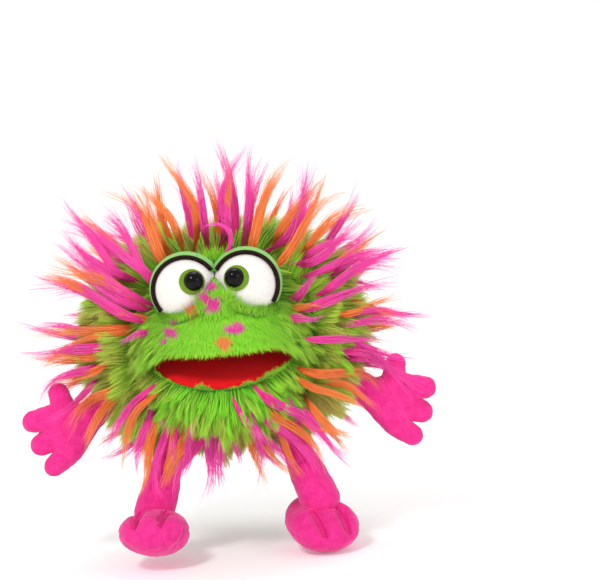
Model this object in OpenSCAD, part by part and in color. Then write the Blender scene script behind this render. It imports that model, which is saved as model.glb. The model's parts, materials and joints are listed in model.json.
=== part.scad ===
// Moving mouth hand puppet: a furry ball with a hinged mouth, two domed eyes,
// stuffed arms and legs, and a lined sleeve that takes a hand.
// The face looks along -Y, the puppet's left is +X and up is +Z.
// The origin is the centre of the round hem that closes the hand opening.
// Lengths are in millimetres and angles in degrees.

/* [Body] */
// Half width of the round body, without its pile
body_half_w = 76; // [74:1:80]
// Height of the body's crown above its centre
body_up = 52; // [52:1:56]
// Depth of the body's underside below its centre
body_down = 56; // [55:1:58]
// Half depth of the body, front to back
body_half_d = 60; // [58:1:64]
// Thickness of the fur fabric with its pressed pile
fur_t = 5; // [4:0.5:5]

/* [Hand opening] */
// Inner radius of the hem that the forearm passes through
hem_r = 37; // [36:0.5:38]
// Length of the hem along the forearm
hem_l = 12; // [10:1:14]
// Thickness of the hem band
hem_t = 1.6; // [1.4:0.1:1.8]

/* [Mouth] */
// Half width of the muzzle and chin at the mouth corners
jaw_half_w = 46; // [45:0.5:47]
// Reach of the upper lip in front of the mouth fold
upper_lip_r = 56; // [54:1:57]
// Reach of the lower lip in front of the mouth fold
lower_lip_r = 55; // [53:1:56]
// Angle of the upper mouth plate above the horizontal
upper_tilt = 3; // [2:0.5:4]
// Angle of the lower mouth plate below the horizontal
lower_tilt = 22; // [21:0.5:24]

/* [Eyes] */
// Radius of the white felt eyeball
eye_r = 20.8; // [20:0.1:21]
// Distance of each eyeball's centre from the middle of the face
eye_x = 18.5; // [18:0.1:19]
// Radius of the felt iris
iris_r = 8; // [7.5:0.1:8.5]
// Radius of the black pupil
pupil_r = 6.2; // [5.8:0.1:6.4]

/* [Limbs] */
// Length of an arm from its shoulder joint to the wrist
arm_l = 26; // [24:1:28]
// Angle of a resting arm below the horizontal
arm_drop = 40; // [34:1:44]
// Angle that the hand is bent up from its arm at the wrist
hand_lift = 20; // [15:1:25]
// Length of a leg from its hip joint to the ankle joint
leg_l = 47; // [44:1:48]
// Outward lean of a resting leg
leg_lean = 20; // [15:1:22]
// Length of a foot
foot_l = 54; // [50:1:56]
// Width of a foot at the toes
foot_w = 49; // [46:1:50]

/* [Hidden] */

LEFT = 1;
RIGHT = -1;
GREEN = [0.45, 0.72, 0.12];
LID_GREEN = [0.42, 0.78, 0.30];
IRIS_GREEN = [0.38, 0.50, 0.12];
PINK = [0.96, 0.20, 0.60];
ORANGE = [1.00, 0.50, 0.15];
RED = [0.85, 0.03, 0.05];
BLACK = [0.05, 0.04, 0.05];
WHITE = [0.96, 0.95, 0.92];
FOAM = [0.93, 0.90, 0.78];

// Centre of the body, and the fold at the back of the mouth that both jaws turn on
body_y = -16;
body_z = 60;
fold_y = -38;
fold_z = 53;

// Layers, from the fur inwards
gap = 0.3;
foam_t = 8;
lining_t = 1.5;
board_t = 2;
plush_t = 1.6;

// Number of stretches across and along a lofted sheet
ACROSS = 20;
ALONG = 14;
AROUND = 32;

// ---------------------------------------------------------------- sheets

// Triangles over a grid of rows by cols points that starts at point number first
function grid_faces(rows, cols, first, flip) = [
    for (i = [0 : rows - 2], j = [0 : cols - 2])
        let (a = first + i * cols + j, b = a + 1, c = a + cols + 1, d = a + cols)
            each flip ? [[a, b, c], [a, c, d]] : [[c, b, a], [d, c, a]]
];

// Triangles that join one edge of the outer grid to the same edge of the inner one
function edge_faces(outer_ids, inner_ids, flip) = [
    for (k = [0 : len(outer_ids) - 2])
        let (a = outer_ids[k], b = outer_ids[k + 1], c = inner_ids[k + 1], d = inner_ids[k])
            each flip ? [[c, b, a], [d, c, a]] : [[a, b, c], [a, c, d]]
];

// A sheet with thickness: two grids of points, one above the other, closed at their edges
module thick_sheet(outer, inner) {
    rows = len(outer);
    cols = len(outer[0]);
    n = rows * cols;
    first_row = [for (j = [0 : cols - 1]) j];
    last_row = [for (j = [0 : cols - 1]) (rows - 1) * cols + j];
    first_col = [for (i = [0 : rows - 1]) i * cols];
    last_col = [for (i = [0 : rows - 1]) i * cols + cols - 1];
    function inside(ids) = [for (k = ids) k + n];
    polyhedron(
        points = [each [for (row = outer) each row], each [for (row = inner) each row]],
        faces = concat(
            grid_faces(rows, cols, 0, false),
            grid_faces(rows, cols, n, true),
            edge_faces(first_row, inside(first_row), false),
            edge_faces(last_row, inside(last_row), true),
            edge_faces(first_col, inside(first_col), true),
            edge_faces(last_col, inside(last_col), false)
        )
    );
}

// A wall around a tube: rings of points, outer and inner, joined at both ends
module ring_wall(outer, inner) {
    rows = len(outer);
    cols = len(outer[0]);
    n = rows * cols;
    function around(first, flip) = [
        for (i = [0 : rows - 2], j = [0 : cols - 1])
            let (
                a = first + i * cols + j, b = first + i * cols + (j + 1) % cols,
                c = b + cols, d = a + cols
            )
                each flip ? [[a, b, c], [a, c, d]] : [[c, b, a], [d, c, a]]
    ];
    function rim(row, flip) = [
        for (j = [0 : cols - 1])
            let (a = row * cols + j, b = row * cols + (j + 1) % cols, c = b + n, d = a + n)
                each flip ? [[c, b, a], [d, c, a]] : [[a, b, c], [a, c, d]]
    ];
    polyhedron(
        points = [each [for (row = outer) each row], each [for (row = inner) each row]],
        faces = concat(around(0, false), around(n, true), rim(0, false), rim(rows - 1, true))
    );
}

// A closed solid through rings of points, with flat ends
module loft(rings) {
    rows = len(rings);
    cols = len(rings[0]);
    polyhedron(
        points = [for (row = rings) each row],
        faces = concat(
            [
                for (i = [0 : rows - 2], j = [0 : cols - 1])
                    let (
                        a = i * cols + j, b = i * cols + (j + 1) % cols,
                        c = b + cols, d = a + cols
                    )
                        each [[c, b, a], [d, c, a]]
            ],
            [[for (j = [0 : cols - 1]) j]],
            [[for (j = [cols - 1 : -1 : 0]) (rows - 1) * cols + j]]
        )
    );
}

function mix(a, b, t) = a * (1 - t) + b * t;
function unit(v) = v / norm(v);
function bezier(p, t) =
    p[0] * pow(1 - t, 3) + p[1] * 3 * t * pow(1 - t, 2) + p[2] * 3 * t * t * (1 - t) + p[3] * pow(t, 3);
// Smooth fall from 1 to 0 as t goes from 0 to 1
function ease(t) = 0.5 + 0.5 * cos(180 * min(1, max(0, t)));

// ------------------------------------------------------------------ body

// Where the body's front edge stands, as an angle from straight ahead: open wide over the
// forehead, where the eyes swing back, and less so beside and under the mouth
rim_side = 50;
rim_top = 89;
rim_bottom = 69;
function rim_angle(a) =
    sin(a) > 0 ? mix(rim_side, rim_top, pow(sin(a), 2)) : mix(rim_side, rim_bottom, pow(sin(a), 2));

// How far the underside is drawn forward, so that the ball closes on the front of the hem
pull_rim = 12;
pull_ring = 29;
function pull(a, forward) =
    pow(max(0, -sin(a)), 3) * mix(pull_rim, pull_ring, (forward - rim_bottom) / (90 - rim_bottom));

// A point on the front half of the body, an ellipsoid; a turns about Y, and forward leads back from the face
function front_point(a, forward, inset) = [
    (body_half_w - inset) * sin(forward) * cos(a),
    body_y - (body_half_d - inset) * cos(forward) - pull(a, forward),
    body_z + ((sin(a) > 0 ? body_up : body_down) - inset) * sin(forward) * sin(a)
];

// How far the back half runs straight on from the widest ring, and straight up from the hem, at its low and high side
ring_handle = [1, 46];
hem_handle = [4, 62];

// A point on the back half, which runs from the widest ring down to the hem
function back_point(a, t, inset) =
    let (
        up = (1 + sin(a)) / 2,
        start = front_point(a, 90, inset),
        hem_out = hem_r + hem_t + gap + fur_t - inset,
        end = [hem_out * cos(a), hem_out * sin(a), 0],
        from_ring = [0, mix(ring_handle[0], ring_handle[1], up), 0],
        from_hem = [0, 0, mix(hem_handle[0], hem_handle[1], up)]
    )
        bezier([start, start + from_ring, end + from_hem, end], t);

// Rings of points on the front and on the back half
front_rings = 5;
back_rings = 11;
function body_ring(k, inset) = [
    for (j = [0 : AROUND - 1])
        let (a = 360 * j / AROUND)
            k < front_rings ? front_point(a, mix(rim_angle(a), 90, k / front_rings), inset)
                : back_point(a, (k - front_rings) / back_rings, inset)
];

module body_fur() {
    color(GREEN)
        ring_wall(
            [for (k = [0 : front_rings + back_rings]) body_ring(k, 0)],
            [for (k = [0 : front_rings + back_rings]) body_ring(k, fur_t)]
        );
}

// The hand space: a tube that rises from the hem and turns forward to the mouth, lower in front
hand_y = 4;
hand_half_w = 45;
hand_up = 29;
hand_down = 41;
hand_lead = 12;
// How far the tube runs straight on from the mouth, and straight up from the hem, at its low and high side
mouth_handle = [-6, 27];
wrist_handle = [6, 40];
hand_steps = 9;
function hand_ring(t, spread) = [
    for (j = [0 : AROUND - 1])
        let (
            a = 360 * j / AROUND,
            up = (1 + sin(a)) / 2,
            high = max(0, sin(a)),
            low = max(0, -sin(a)),
            start = [
                (hand_half_w + spread) * cos(a),
                hand_y - (hand_lead + 0.6 * spread) * low,
                body_z - 1 + (hand_up + spread) * high - (hand_down - 0.8 * spread) * low
            ],
            end = [(hem_r + spread) * cos(a), (hem_r + spread) * sin(a), hem_l / 2 + gap],
            from_mouth = [0, mix(mouth_handle[0], mouth_handle[1], up), 0],
            from_wrist = [0, 0, mix(wrist_handle[0], wrist_handle[1], up)]
        )
            bezier([start, start + from_mouth, end + from_wrist, end], t)
];

module sleeve_lining() {
    color("linen")
        ring_wall(
            [for (k = [0 : hand_steps]) hand_ring(k / hand_steps, lining_t)],
            [for (k = [0 : hand_steps]) hand_ring(k / hand_steps, 0)]
        );
}

// Filling that keeps the body round: an arch over the top and both sides, between the fur and the lining
padding_gap = 1;
padding_t = 5.5;
padding_steps = 5;
// Where it starts and ends, as angles about Y and as shares of the way back to the hem
padding_ends = [195, -15];
padding_reach = [0.02, 0.28];
function padding_grid(inset) = [
    for (k = [0 : padding_steps])
        let (t = mix(padding_reach[0], padding_reach[1], k / padding_steps))
            [for (j = [0 : ACROSS]) back_point(mix(padding_ends[0], padding_ends[1], j / ACROSS), t, inset)]
];

module body_padding() {
    color(FOAM)
        thick_sheet(padding_grid(fur_t + padding_gap), padding_grid(fur_t + padding_gap + padding_t));
}

module sleeve_hem() {
    color(GREEN)
        rotate_extrude($fn = 96)
            translate([hem_r, -hem_l / 2])
                square([hem_t, hem_l]);
}

// Piped cord sewn along the fold of the mouth and into both cheeks
fold_cord_r = 1.2;
fold_cord_half = 63.5;
module mouth_fold_cord() {
    color(RED)
        translate([-fold_cord_half, fold_y, fold_z])
            rotate([0, 90, 0])
                cylinder(r = fold_cord_r, h = 2 * fold_cord_half, $fn = 32);
}

// ------------------------------------------------------------------ jaws

// Both jaws are segments about the fold, so they turn inside the body's front edge.
top_r = 50;
chin_r = 38;
head_back = 125;
jaw_back = 103;
muzzle_end = 58;
chin_end = 72;
function head_radius(a) = top_r + (upper_lip_r - top_r) * ease((a - upper_tilt) / (muzzle_end - upper_tilt));
function jaw_radius(a) = chin_r + (lower_lip_r - chin_r) * ease((a - lower_tilt) / (chin_end - lower_tilt));

// How far the segment keeps its radius towards the mouth corners, for x as a share of its half width
function lens(u) = sqrt(1 - pow(0.96 * u, 2));

// A point of a segment: a is the angle above (up = 1) or below (up = -1) the horizontal
function segment_point(a, u, inset, up) =
    let (r = ((up > 0 ? head_radius(a) : jaw_radius(a)) - inset) * lens(u))
        [(jaw_half_w - inset) * u, fold_y - r * cos(a), fold_z + up * r * sin(a)];

function segment_grid(from, to, inset, up) = [
    for (i = [0 : ALONG])
        [for (j = [0 : ACROSS]) segment_point(mix(from, to, i / ALONG), up * (2 * j / ACROSS - 1), inset, up)]
];

module segment_shell(from, to, outer, inner, up) {
    thick_sheet(segment_grid(from, to, outer, up), segment_grid(from, to, inner, up));
}

// Where the fur and the foam start above the lip, where the foam ends, and how thick it is in the jaw
fur_edge = 2;
foam_edge = 6;
foam_end = 95;
jaw_foam_t = 6;
shell_t = fur_t - 1;

// Bridge of the nose: a mound on the muzzle that rises between the eyes
bridge_at = [0, -73, 84];
bridge_r = [13, 13, 17];
bridge_root_r = top_r - fur_t + 2;
module bridge_mound(spread) {
    translate(bridge_at)
        scale([for (r = bridge_r) r + spread])
            sphere(r = 1, $fn = 32);
}

module bridge() {
    difference() {
        bridge_mound(0);
        translate([-jaw_half_w, fold_y, fold_z])
            rotate([0, 90, 0])
                cylinder(r = bridge_root_r, h = 2 * jaw_half_w, $fn = 64);
    }
}

module head_fur() {
    color(GREEN)
        difference() {
            union() {
                segment_shell(upper_tilt + fur_edge, head_back, 0, shell_t, 1);
                bridge();
            }
            eye_sockets();
        }
}

module head_foam() {
    color(FOAM)
        difference() {
            segment_shell(upper_tilt + foam_edge, foam_end, shell_t + gap, shell_t + gap + foam_t, 1);
            eye_sockets();
            bridge_mound(gap);
            on_upper_plate() plate_room(finger_reach, finger_half_w, finger_h);
        }
}

module jaw_fur() {
    color(GREEN)
        segment_shell(lower_tilt + fur_edge, jaw_back, 0, shell_t, -1);
}

module jaw_foam() {
    color(FOAM)
        difference() {
            segment_shell(lower_tilt + foam_edge, foam_end, shell_t + gap, shell_t + gap + jaw_foam_t, -1);
            on_lower_plate() plate_room(thumb_reach, thumb_half_w, thumb_h);
        }
}

// Outline of a mouth plate, seen from above, with its straight side along the fold
fold_clear = 2;
plate_steps = 24;
function plate_outline(reach, half_w) = concat(
    [for (j = [0 : plate_steps]) let (u = 2 * j / plate_steps - 1) [half_w * u, -reach * lens(u)]],
    [[half_w, -fold_clear], [-half_w, -fold_clear]]
);

module plate(reach, half_w, thick) {
    linear_extrude(height = thick)
        polygon(plate_outline(reach, half_w));
}

// The room that a mouth plate's lining and board take, and the pouch behind them
module plate_room(reach, half_w, height) {
    translate([-jaw_half_w, -upper_lip_r, -1])
        cube([2 * jaw_half_w, upper_lip_r, 1 + lining_t + board_t + gap]);
    plate(reach + gap, half_w + gap, lining_t + board_t + height + gap);
}

// Frames that lie on the upper and on the lower mouth plate, with +Z away from the mouth
module on_upper_plate() {
    translate([0, fold_y, fold_z])
        rotate([-upper_tilt, 0, 0])
            children();
}

module on_lower_plate() {
    translate([0, fold_y, fold_z])
        rotate([lower_tilt, 0, 0])
            mirror([0, 0, 1])
                children();
}

plate_w = jaw_half_w - fur_t + 1;
module palate_lining() {
    color(RED)
        on_upper_plate() plate(upper_lip_r - fur_t, plate_w, lining_t);
}

module palate_board() {
    color("tan")
        on_upper_plate() translate([0, 0, lining_t]) plate(upper_lip_r - fur_t - 3, plate_w - 2, board_t);
}

module mouth_floor_lining() {
    color(RED)
        on_lower_plate() plate(lower_lip_r - fur_t, plate_w, lining_t);
}

module jaw_board() {
    color("tan")
        on_lower_plate() translate([0, 0, lining_t]) plate(lower_lip_r - fur_t - 3, plate_w - 2, board_t);
}

// A pouch of thin cloth that is open towards the fold
pouch_t = 1.2;
finger_reach = 32;
finger_half_w = 36;
finger_h = 16;
thumb_reach = 22;
thumb_half_w = 17;
thumb_h = 14;
module pouch(reach, half_w, height) {
    translate([0, 0, lining_t + board_t])
        difference() {
            plate(reach, half_w, height);
            translate([0, 1, pouch_t])
                linear_extrude(height = height - 2 * pouch_t)
                    polygon(concat(
                        plate_outline(reach - pouch_t, half_w - pouch_t),
                        [[half_w - pouch_t, 1], [1 - half_w, 1]]
                    ));
            translate([-half_w + pouch_t, -fold_clear - 1, pouch_t])
                cube([2 * (half_w - pouch_t), fold_clear + 2, height - 2 * pouch_t]);
        }
}

module finger_pocket() {
    color("linen")
        on_upper_plate() pouch(finger_reach, finger_half_w, finger_h);
}

module thumb_pocket() {
    color("linen")
        on_lower_plate() pouch(thumb_reach, thumb_half_w, thumb_h);
}

// ------------------------------------------------------------------ eyes

eye_y = -64;
eye_z = 93;
eye_n = unit([0, eye_y - fold_y, eye_z - fold_z]);
eye_lean = acos(eye_n[2]);
eye_base = 8;
felt_t = 1.5;
lid_in = eye_r + 0.2;
lid_t = 1.7;
socket_r = lid_in + lid_t + 0.2;
lid_front = 8.2;
lid_low = 1.5;
lid_slant = 32.5;
mid_gap = 0.15;
cord_r = 1.35;
cord_ring_r = 20;

// Where the iris and the pupil look, from the centre of an eye
function iris_dir(side) = unit([-5.2 * side, -19.4, 5.5]);
function pupil_dir(side) = unit([-6.2 * side, -19.2, 5.8]);

module at_eye(side) {
    translate([side * eye_x, eye_y, eye_z])
        children();
}

// Turns +Z to point along a direction
module aim(d) {
    rotate([0, acos(d[2]), atan2(d[1], d[0])])
        children();
}

// The side of the flat base that an eye keeps
module above_eye_base(reach, drop) {
    rotate([eye_lean, 0, 0])
        translate([-reach, -reach, -drop])
            cube(2 * reach);
}

// One side of the middle of the face
module own_side(side, keep_off) {
    translate([side > 0 ? keep_off - eye_x : -100 + eye_x - keep_off, -50, -50])
        cube(100);
}

module eye_sockets() {
    for (side = [LEFT, RIGHT])
        at_eye(side)
            intersection() {
                sphere(r = socket_r, $fn = 48);
                above_eye_base(40, eye_base + gap);
            }
}

module eye_felt(side) {
    color(WHITE)
        at_eye(side)
            difference() {
                intersection() {
                    sphere(r = eye_r, $fn = 64);
                    above_eye_base(40, eye_base);
                    own_side(side, mid_gap);
                }
                sphere(r = eye_r - felt_t, $fn = 64);
                aim(pupil_dir(side)) cylinder(r = shaft_r + 0.1, h = 40, $fn = 32);
            }
}

shaft_r = 1.6;
shaft_l = 9;
washer_r = 5;
washer_t = 1.4;
washer_top = eye_r - felt_t - 0.9;
module eye_stuffing(side) {
    color("white")
        at_eye(side)
            difference() {
                intersection() {
                    sphere(r = eye_r - felt_t - 0.1, $fn = 64);
                    above_eye_base(40, eye_base);
                    own_side(side, mid_gap + 0.1);
                }
                aim(pupil_dir(side)) {
                    cylinder(r = shaft_r + 0.1, h = 40, $fn = 32);
                    translate([0, 0, washer_top - washer_t - 0.1])
                        cylinder(r = washer_r + 0.1, h = 10, $fn = 48);
                }
            }
}

module pupil_washer(side) {
    color("ivory")
        at_eye(side)
            aim(pupil_dir(side))
                translate([0, 0, washer_top - washer_t])
                    difference() {
                        cylinder(r = washer_r, h = washer_t, $fn = 48);
                        translate([0, 0, -1]) cylinder(r = shaft_r + 0.05, h = washer_t + 2, $fn = 32);
                    }
}

iris_t = 0.9;
module iris(side) {
    color(IRIS_GREEN)
        at_eye(side)
            difference() {
                intersection() {
                    sphere(r = eye_r + 0.05 + iris_t, $fn = 64);
                    aim(iris_dir(side)) cylinder(r = iris_r, h = 40, $fn = 64);
                }
                sphere(r = eye_r + 0.05, $fn = 64);
                aim(pupil_dir(side)) cylinder(r = shaft_r + 0.1, h = 40, $fn = 32);
            }
}

// A glossy dome on a ribless shaft that goes through the iris and the felt
dome_seat = eye_r + iris_t + 0.1;
module pupil(side) {
    color(BLACK)
        at_eye(side)
            union() {
                difference() {
                    aim(pupil_dir(side))
                        translate([0, 0, dome_seat - 1.2])
                            sphere(r = pupil_r, $fn = 48);
                    sphere(r = dome_seat, $fn = 64);
                }
                aim(pupil_dir(side))
                    translate([0, 0, dome_seat - shaft_l])
                        cylinder(r = shaft_r, h = shaft_l + 1, $fn = 32);
            }
}

module eyelid(side) {
    color(LID_GREEN)
        at_eye(side)
            difference() {
                intersection() {
                    sphere(r = lid_in + lid_t, $fn = 64);
                    above_eye_base(40, eye_base);
                    own_side(side, mid_gap);
                    rotate([0, side * lid_slant, 0])
                        translate([-50, -lid_front, -lid_low]) cube(100);
                }
                sphere(r = lid_in, $fn = 64);
            }
}

// Piped edge of the lid, from low on the outer side over the top to the middle
cord_from = -37;
cord_to = 148;
module lid_cord(side) {
    color(BLACK)
        at_eye(side)
            translate([0, -lid_front - cord_r - 0.1, 0])
                mirror([side > 0 ? 0 : 1, 0, 0])
                    rotate([90, 0, 0])
                        rotate([0, 0, cord_from])
                            rotate_extrude(angle = cord_to - cord_from, $fn = 64)
                                translate([cord_ring_r, 0])
                                    circle(r = cord_r, $fn = 24);
}

// ------------------------------------------------------------------ arms

shoulder_x = 73;
shoulder_y = -30;
shoulder_z = 27;
arm_r = 9;
arm_flat = 0.75;
palm_r = 8.4;
finger_r = 6.8;

module ball(x, z, r, inset) {
    translate([x, 0, z])
        scale([1, arm_flat, 1])
            sphere(r = r - inset, $fn = 16);
}

module limb(a, b, inset) {
    hull() {
        ball(a[0], a[1], a[2], inset);
        ball(b[0], b[1], b[2], inset);
    }
}

module web(a, b, c, inset) {
    hull() {
        ball(a[0], a[1], a[2], inset);
        ball(b[0], b[1], b[2], inset);
        ball(c[0], c[1], c[2], inset);
    }
}

// Balls that the hand is drawn over, each as distance from the wrist, height and radius
KNUCKLES = [[17, 10, palm_r], [19, -1, palm_r], [17, -13, palm_r]];
FINGER_TIPS = [[30, 13, finger_r], [32, -2, finger_r], [30, -18, finger_r]];
THUMB = [[10, 8, palm_r], [8, 23, finger_r - 0.6]];

// A ball of the hand, turned up about the wrist
function in_hand(p) = [
    arm_l + p[0] * cos(hand_lift) - p[1] * sin(hand_lift),
    p[0] * sin(hand_lift) + p[1] * cos(hand_lift),
    p[2]
];

// An arm along +X with its hand at the end: three fingers ahead and the thumb up
module arm_shape(inset) {
    shoulder = [0, 0, arm_r];
    wrist = [arm_l, 0, arm_r + 1];
    knuckles = [for (p = KNUCKLES) in_hand(p)];
    thumb = [for (p = THUMB) in_hand(p)];
    limb(shoulder, wrist, inset);
    web(wrist, thumb[0], knuckles[0], inset);
    for (i = [0, 1])
        web(wrist, knuckles[i], knuckles[i + 1], inset);
    for (i = [0 : 2])
        limb(knuckles[i], in_hand(FINGER_TIPS[i]), inset);
    limb(thumb[0], thumb[1], inset);
}

module place_arm(side) {
    translate([side * shoulder_x, shoulder_y, shoulder_z])
        mirror([side > 0 ? 0 : 1, 0, 0])
            rotate([0, arm_drop, 0])
                children();
}

// Front or back panel of the sewn plush, with the filling's space inside
module arm_panel(side, front) {
    color(PINK)
        place_arm(side)
            intersection() {
                difference() {
                    arm_shape(0);
                    arm_shape(plush_t);
                }
                translate([-50, front ? -50 : 0, -50])
                    cube([200, 50, 100]);
            }
}

module arm_stuffing(side) {
    color(WHITE)
        place_arm(side)
            arm_shape(plush_t + 0.2);
}

// ------------------------------------------------------------------ legs

hip_x = 33;
hip_y = -50;
hip_z = 5;
hip_r = 8;
ankle_r = 11;
ankle_gap = 0.6;

// Half of a leg's outline, turned about its own axis: round at the hip and at the ankle
function leg_profile(inset) = concat(
    [for (a = [90 : -15 : 0]) [max(0, (hip_r - inset)) * cos(a), (hip_r - inset) * sin(a)]],
    [for (a = [0 : -15 : -90]) [(ankle_r - inset) * cos(a), -leg_l + (ankle_r - inset) * sin(a)]]
);

module place_leg(side) {
    translate([side * hip_x, hip_y, hip_z])
        rotate([0, -side * leg_lean, 0])
            children();
}

module leg_panel(side, front) {
    color(PINK)
        place_leg(side)
            rotate([0, 0, front ? 180 : 0])
                rotate_extrude(angle = 180, $fn = 48)
                    difference() {
                        polygon(leg_profile(0));
                        polygon(leg_profile(plush_t));
                    }
}

module leg_stuffing(side) {
    color(WHITE)
        place_leg(side)
            rotate_extrude($fn = 48)
                polygon(leg_profile(plush_t + 0.2));
}

// ------------------------------------------------------------------ feet

foot_h = 29;

// Pitch and outward turn of a resting foot: the left one points down and out, the right one shows its sole
function foot_pitch(side) = side > 0 ? 14 : -14;
function foot_yaw(side) = side > 0 ? 24 : -8;
heel_back = 16;
toe_depth = 3.5;
toe_start = 0.6;
foot_rings = 14;
foot_cols = 24;

// A foot's cross-section at t from heel (0) to toes (1); a turns about its length, 0 at the +X edge
function foot_bulge(t) = sqrt(1 - pow(0.998 * abs(2 * t - 1), 2.4));
function foot_taper(t) = mix(0.72, 1.0, t) * foot_bulge(t);
// Creases between three toes on the front third of the upper
function toe_crease(x, t) = toe_depth * max(0, (t - toe_start) / (1 - toe_start)) * pow(sin(540 * x / foot_w), 8);
// Hollow of the instep under the ankle
instep_dip = 4;
function instep(t) = instep_dip * exp(-pow((t - 0.34) / 0.2, 2));

function foot_point(t, a, inset) =
    let (
        x = (foot_w / 2 - inset) * foot_taper(t) * cos(a),
        up = max(0, sin(a)),
        z = (foot_h / 2 - inset) * foot_bulge(t) * sin(a) - up * (instep(t) + toe_crease(x, t) * foot_bulge(t))
    )
        [x, heel_back - inset - (foot_l - 2 * inset) * t, z];

// Rings from heel to toes, closer together where the ends turn round
function foot_place(i) = (1 - cos(180 * i / foot_rings)) / 2;

function foot_arc(t, from, to, inset) = [
    for (j = [0 : foot_cols / 2]) foot_point(t, mix(from, to, 2 * j / foot_cols), inset)
];

module place_foot(side) {
    ankle = [side * hip_x, hip_y, hip_z] + leg_l * [side * sin(leg_lean), 0, -cos(leg_lean)];
    translate(ankle)
        rotate([0, 0, foot_yaw(side)])
            rotate([foot_pitch(side), 0, 0])
                translate([0, 0, instep_dip - ankle_r - ankle_gap - foot_h / 2])
                    children();
}

module foot_shell(from, to) {
    thick_sheet(
        [for (i = [0 : foot_rings]) foot_arc(foot_place(i), from, to, 0)],
        [for (i = [0 : foot_rings]) foot_arc(foot_place(i), from, to, plush_t)]
    );
}

module foot_upper(side) {
    color(PINK)
        place_foot(side)
            foot_shell(0, 180);
}

module foot_sole(side) {
    color(PINK)
        place_foot(side)
            foot_shell(180, 360);
}

module foot_stuffing(side) {
    color(WHITE)
        place_foot(side)
            loft([
                for (i = [0 : foot_rings])
                    [for (j = [0 : foot_cols - 1]) foot_point(foot_place(i), 360 * j / foot_cols, plush_t + 0.3)]
            ]);
}

// Thread that draws the toes apart, along both creases of the upper
stitch_r = 0.7;
stitch_sides = 8;
stitch_steps = 8;
function stitch_point(t, u) = foot_point(t, acos(u / foot_taper(t)), 0);

function stitch_rings(u) = [
    for (i = [0 : stitch_steps])
        let (p = stitch_point(mix(toe_start + 0.04, 0.96, i / stitch_steps), u))
            [
                for (j = [0 : stitch_sides - 1])
                    let (a = 360 * j / stitch_sides)
                        p + stitch_r * [cos(a), 0, sin(a)]
            ]
];

module toe_stitches(side) {
    color(PINK)
        place_foot(side)
            for (u = [-1 / 3, 1 / 3])
                loft(stitch_rings(u));
}

// ----------------------------------------------------------------- tufts

// A lock of long pile: a slim cone that starts a little under the fur's surface
tuft_root_r = 3;
tuft_tip_r = 0.5;
tuft_sink = 2;
module tuft(root, dir, length) {
    translate(root - tuft_sink * dir)
        rotate([0, acos(dir[2]), atan2(dir[1], dir[0])])
            cylinder(r1 = tuft_root_r, r2 = tuft_tip_r, h = length + tuft_sink, $fn = 24);
}

// Uneven but fixed steps between -1 and 1
function waver(i) = sin(137.5 * i + 40);

// Rows of tufts round the body: first angle, last angle, how far back from the face, how many, length, backward lean
TUFT_ROWS = [
    [18, 162, 94, 15, 60, 0.00],
    [28, 152, 108, 11, 58, 0.30],
    [-27, 6, 98, 3, 54, 0.05],
    [174, 207, 98, 3, 54, 0.05],
    [-64, -36, 98, 4, 50, 0.05],
    [216, 244, 98, 4, 50, 0.05],
    [20, 160, 124, 9, 52, 0.70],
    [-10, 190, 142, 9, 44, 0.85],
];
// How much the tufts of a row differ in place (degrees), in backward lean and in length, and how much they all rise
angle_vary = 1.5;
lean_vary = 0.04;
length_vary = 8;
tuft_rise = 0.06;

// A place on the body: back leads from the face (0) over the widest ring (90) towards the hem
function row_place(a, back) =
    back < 90 ? front_point(a, back, 0) : back_point(a, (back - 90) / 90, 0);

module body_tufts(first) {
    for (r = [0 : len(TUFT_ROWS) - 1])
        let (row = TUFT_ROWS[r])
            for (i = [first : 2 : row[3] - 1])
                let (
                    a = mix(row[0], row[1], (i + 0.5) / row[3]) + angle_vary * waver(i + 5 * r),
                    root = row_place(a, row[2]),
                    out = unit([cos(a), row[5] + lean_vary * (1 + waver(3 * i + r)), sin(a) + tuft_rise])
                )
                    tuft(root, out, row[4] + length_vary * waver(7 * i + r));
}

module body_tufts_pink() {
    color(PINK) body_tufts(0);
}

module body_tufts_orange() {
    color(ORANGE) body_tufts(1);
}

// Short locks on the cheeks, outside and below the eyes: the angle above the mouth of each side's lowest lock, the
// step to the next, how far out they stand as a share of the half width, and their shortest length
cheek_from = 30;
cheek_step = 16;
cheek_out = 0.88;
cheek_tuft_l = 27;
root_inset = 0.2;
module head_tufts(first) {
    for (side = [LEFT, RIGHT], i = [first : 2 : 2])
        let (
            root = segment_point(cheek_from + cheek_step * i, cheek_out * side, root_inset, 1),
            dir = unit([0.8 * side, -0.55, 0.25 * i])
        )
            tuft(root, dir, cheek_tuft_l + 4 * i);
}

module head_tufts_pink() {
    color(PINK) head_tufts(0);
}

module head_tufts_orange() {
    color(ORANGE) head_tufts(1);
}

// Locks of the beard, on the front of the chin: mean angle below the mouth, how far out the outermost stand as a
// share of the half width, and their mean length
beard_angle = 44;
beard_out = 0.72;
beard_l = 26;
module jaw_tufts(first) {
    for (i = [first : 2 : 6])
        let (
            u = (i - 3) / 3,
            root = segment_point(beard_angle + 5 * waver(i), beard_out * u, root_inset, -1),
            dir = unit([0.5 * u, -0.75, -0.8])
        )
            tuft(root, dir, beard_l + 4 * waver(2 * i));
}

module jaw_tufts_pink() {
    color(PINK) jaw_tufts(0);
}

module jaw_tufts_orange() {
    color(ORANGE) jaw_tufts(1);
}

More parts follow.
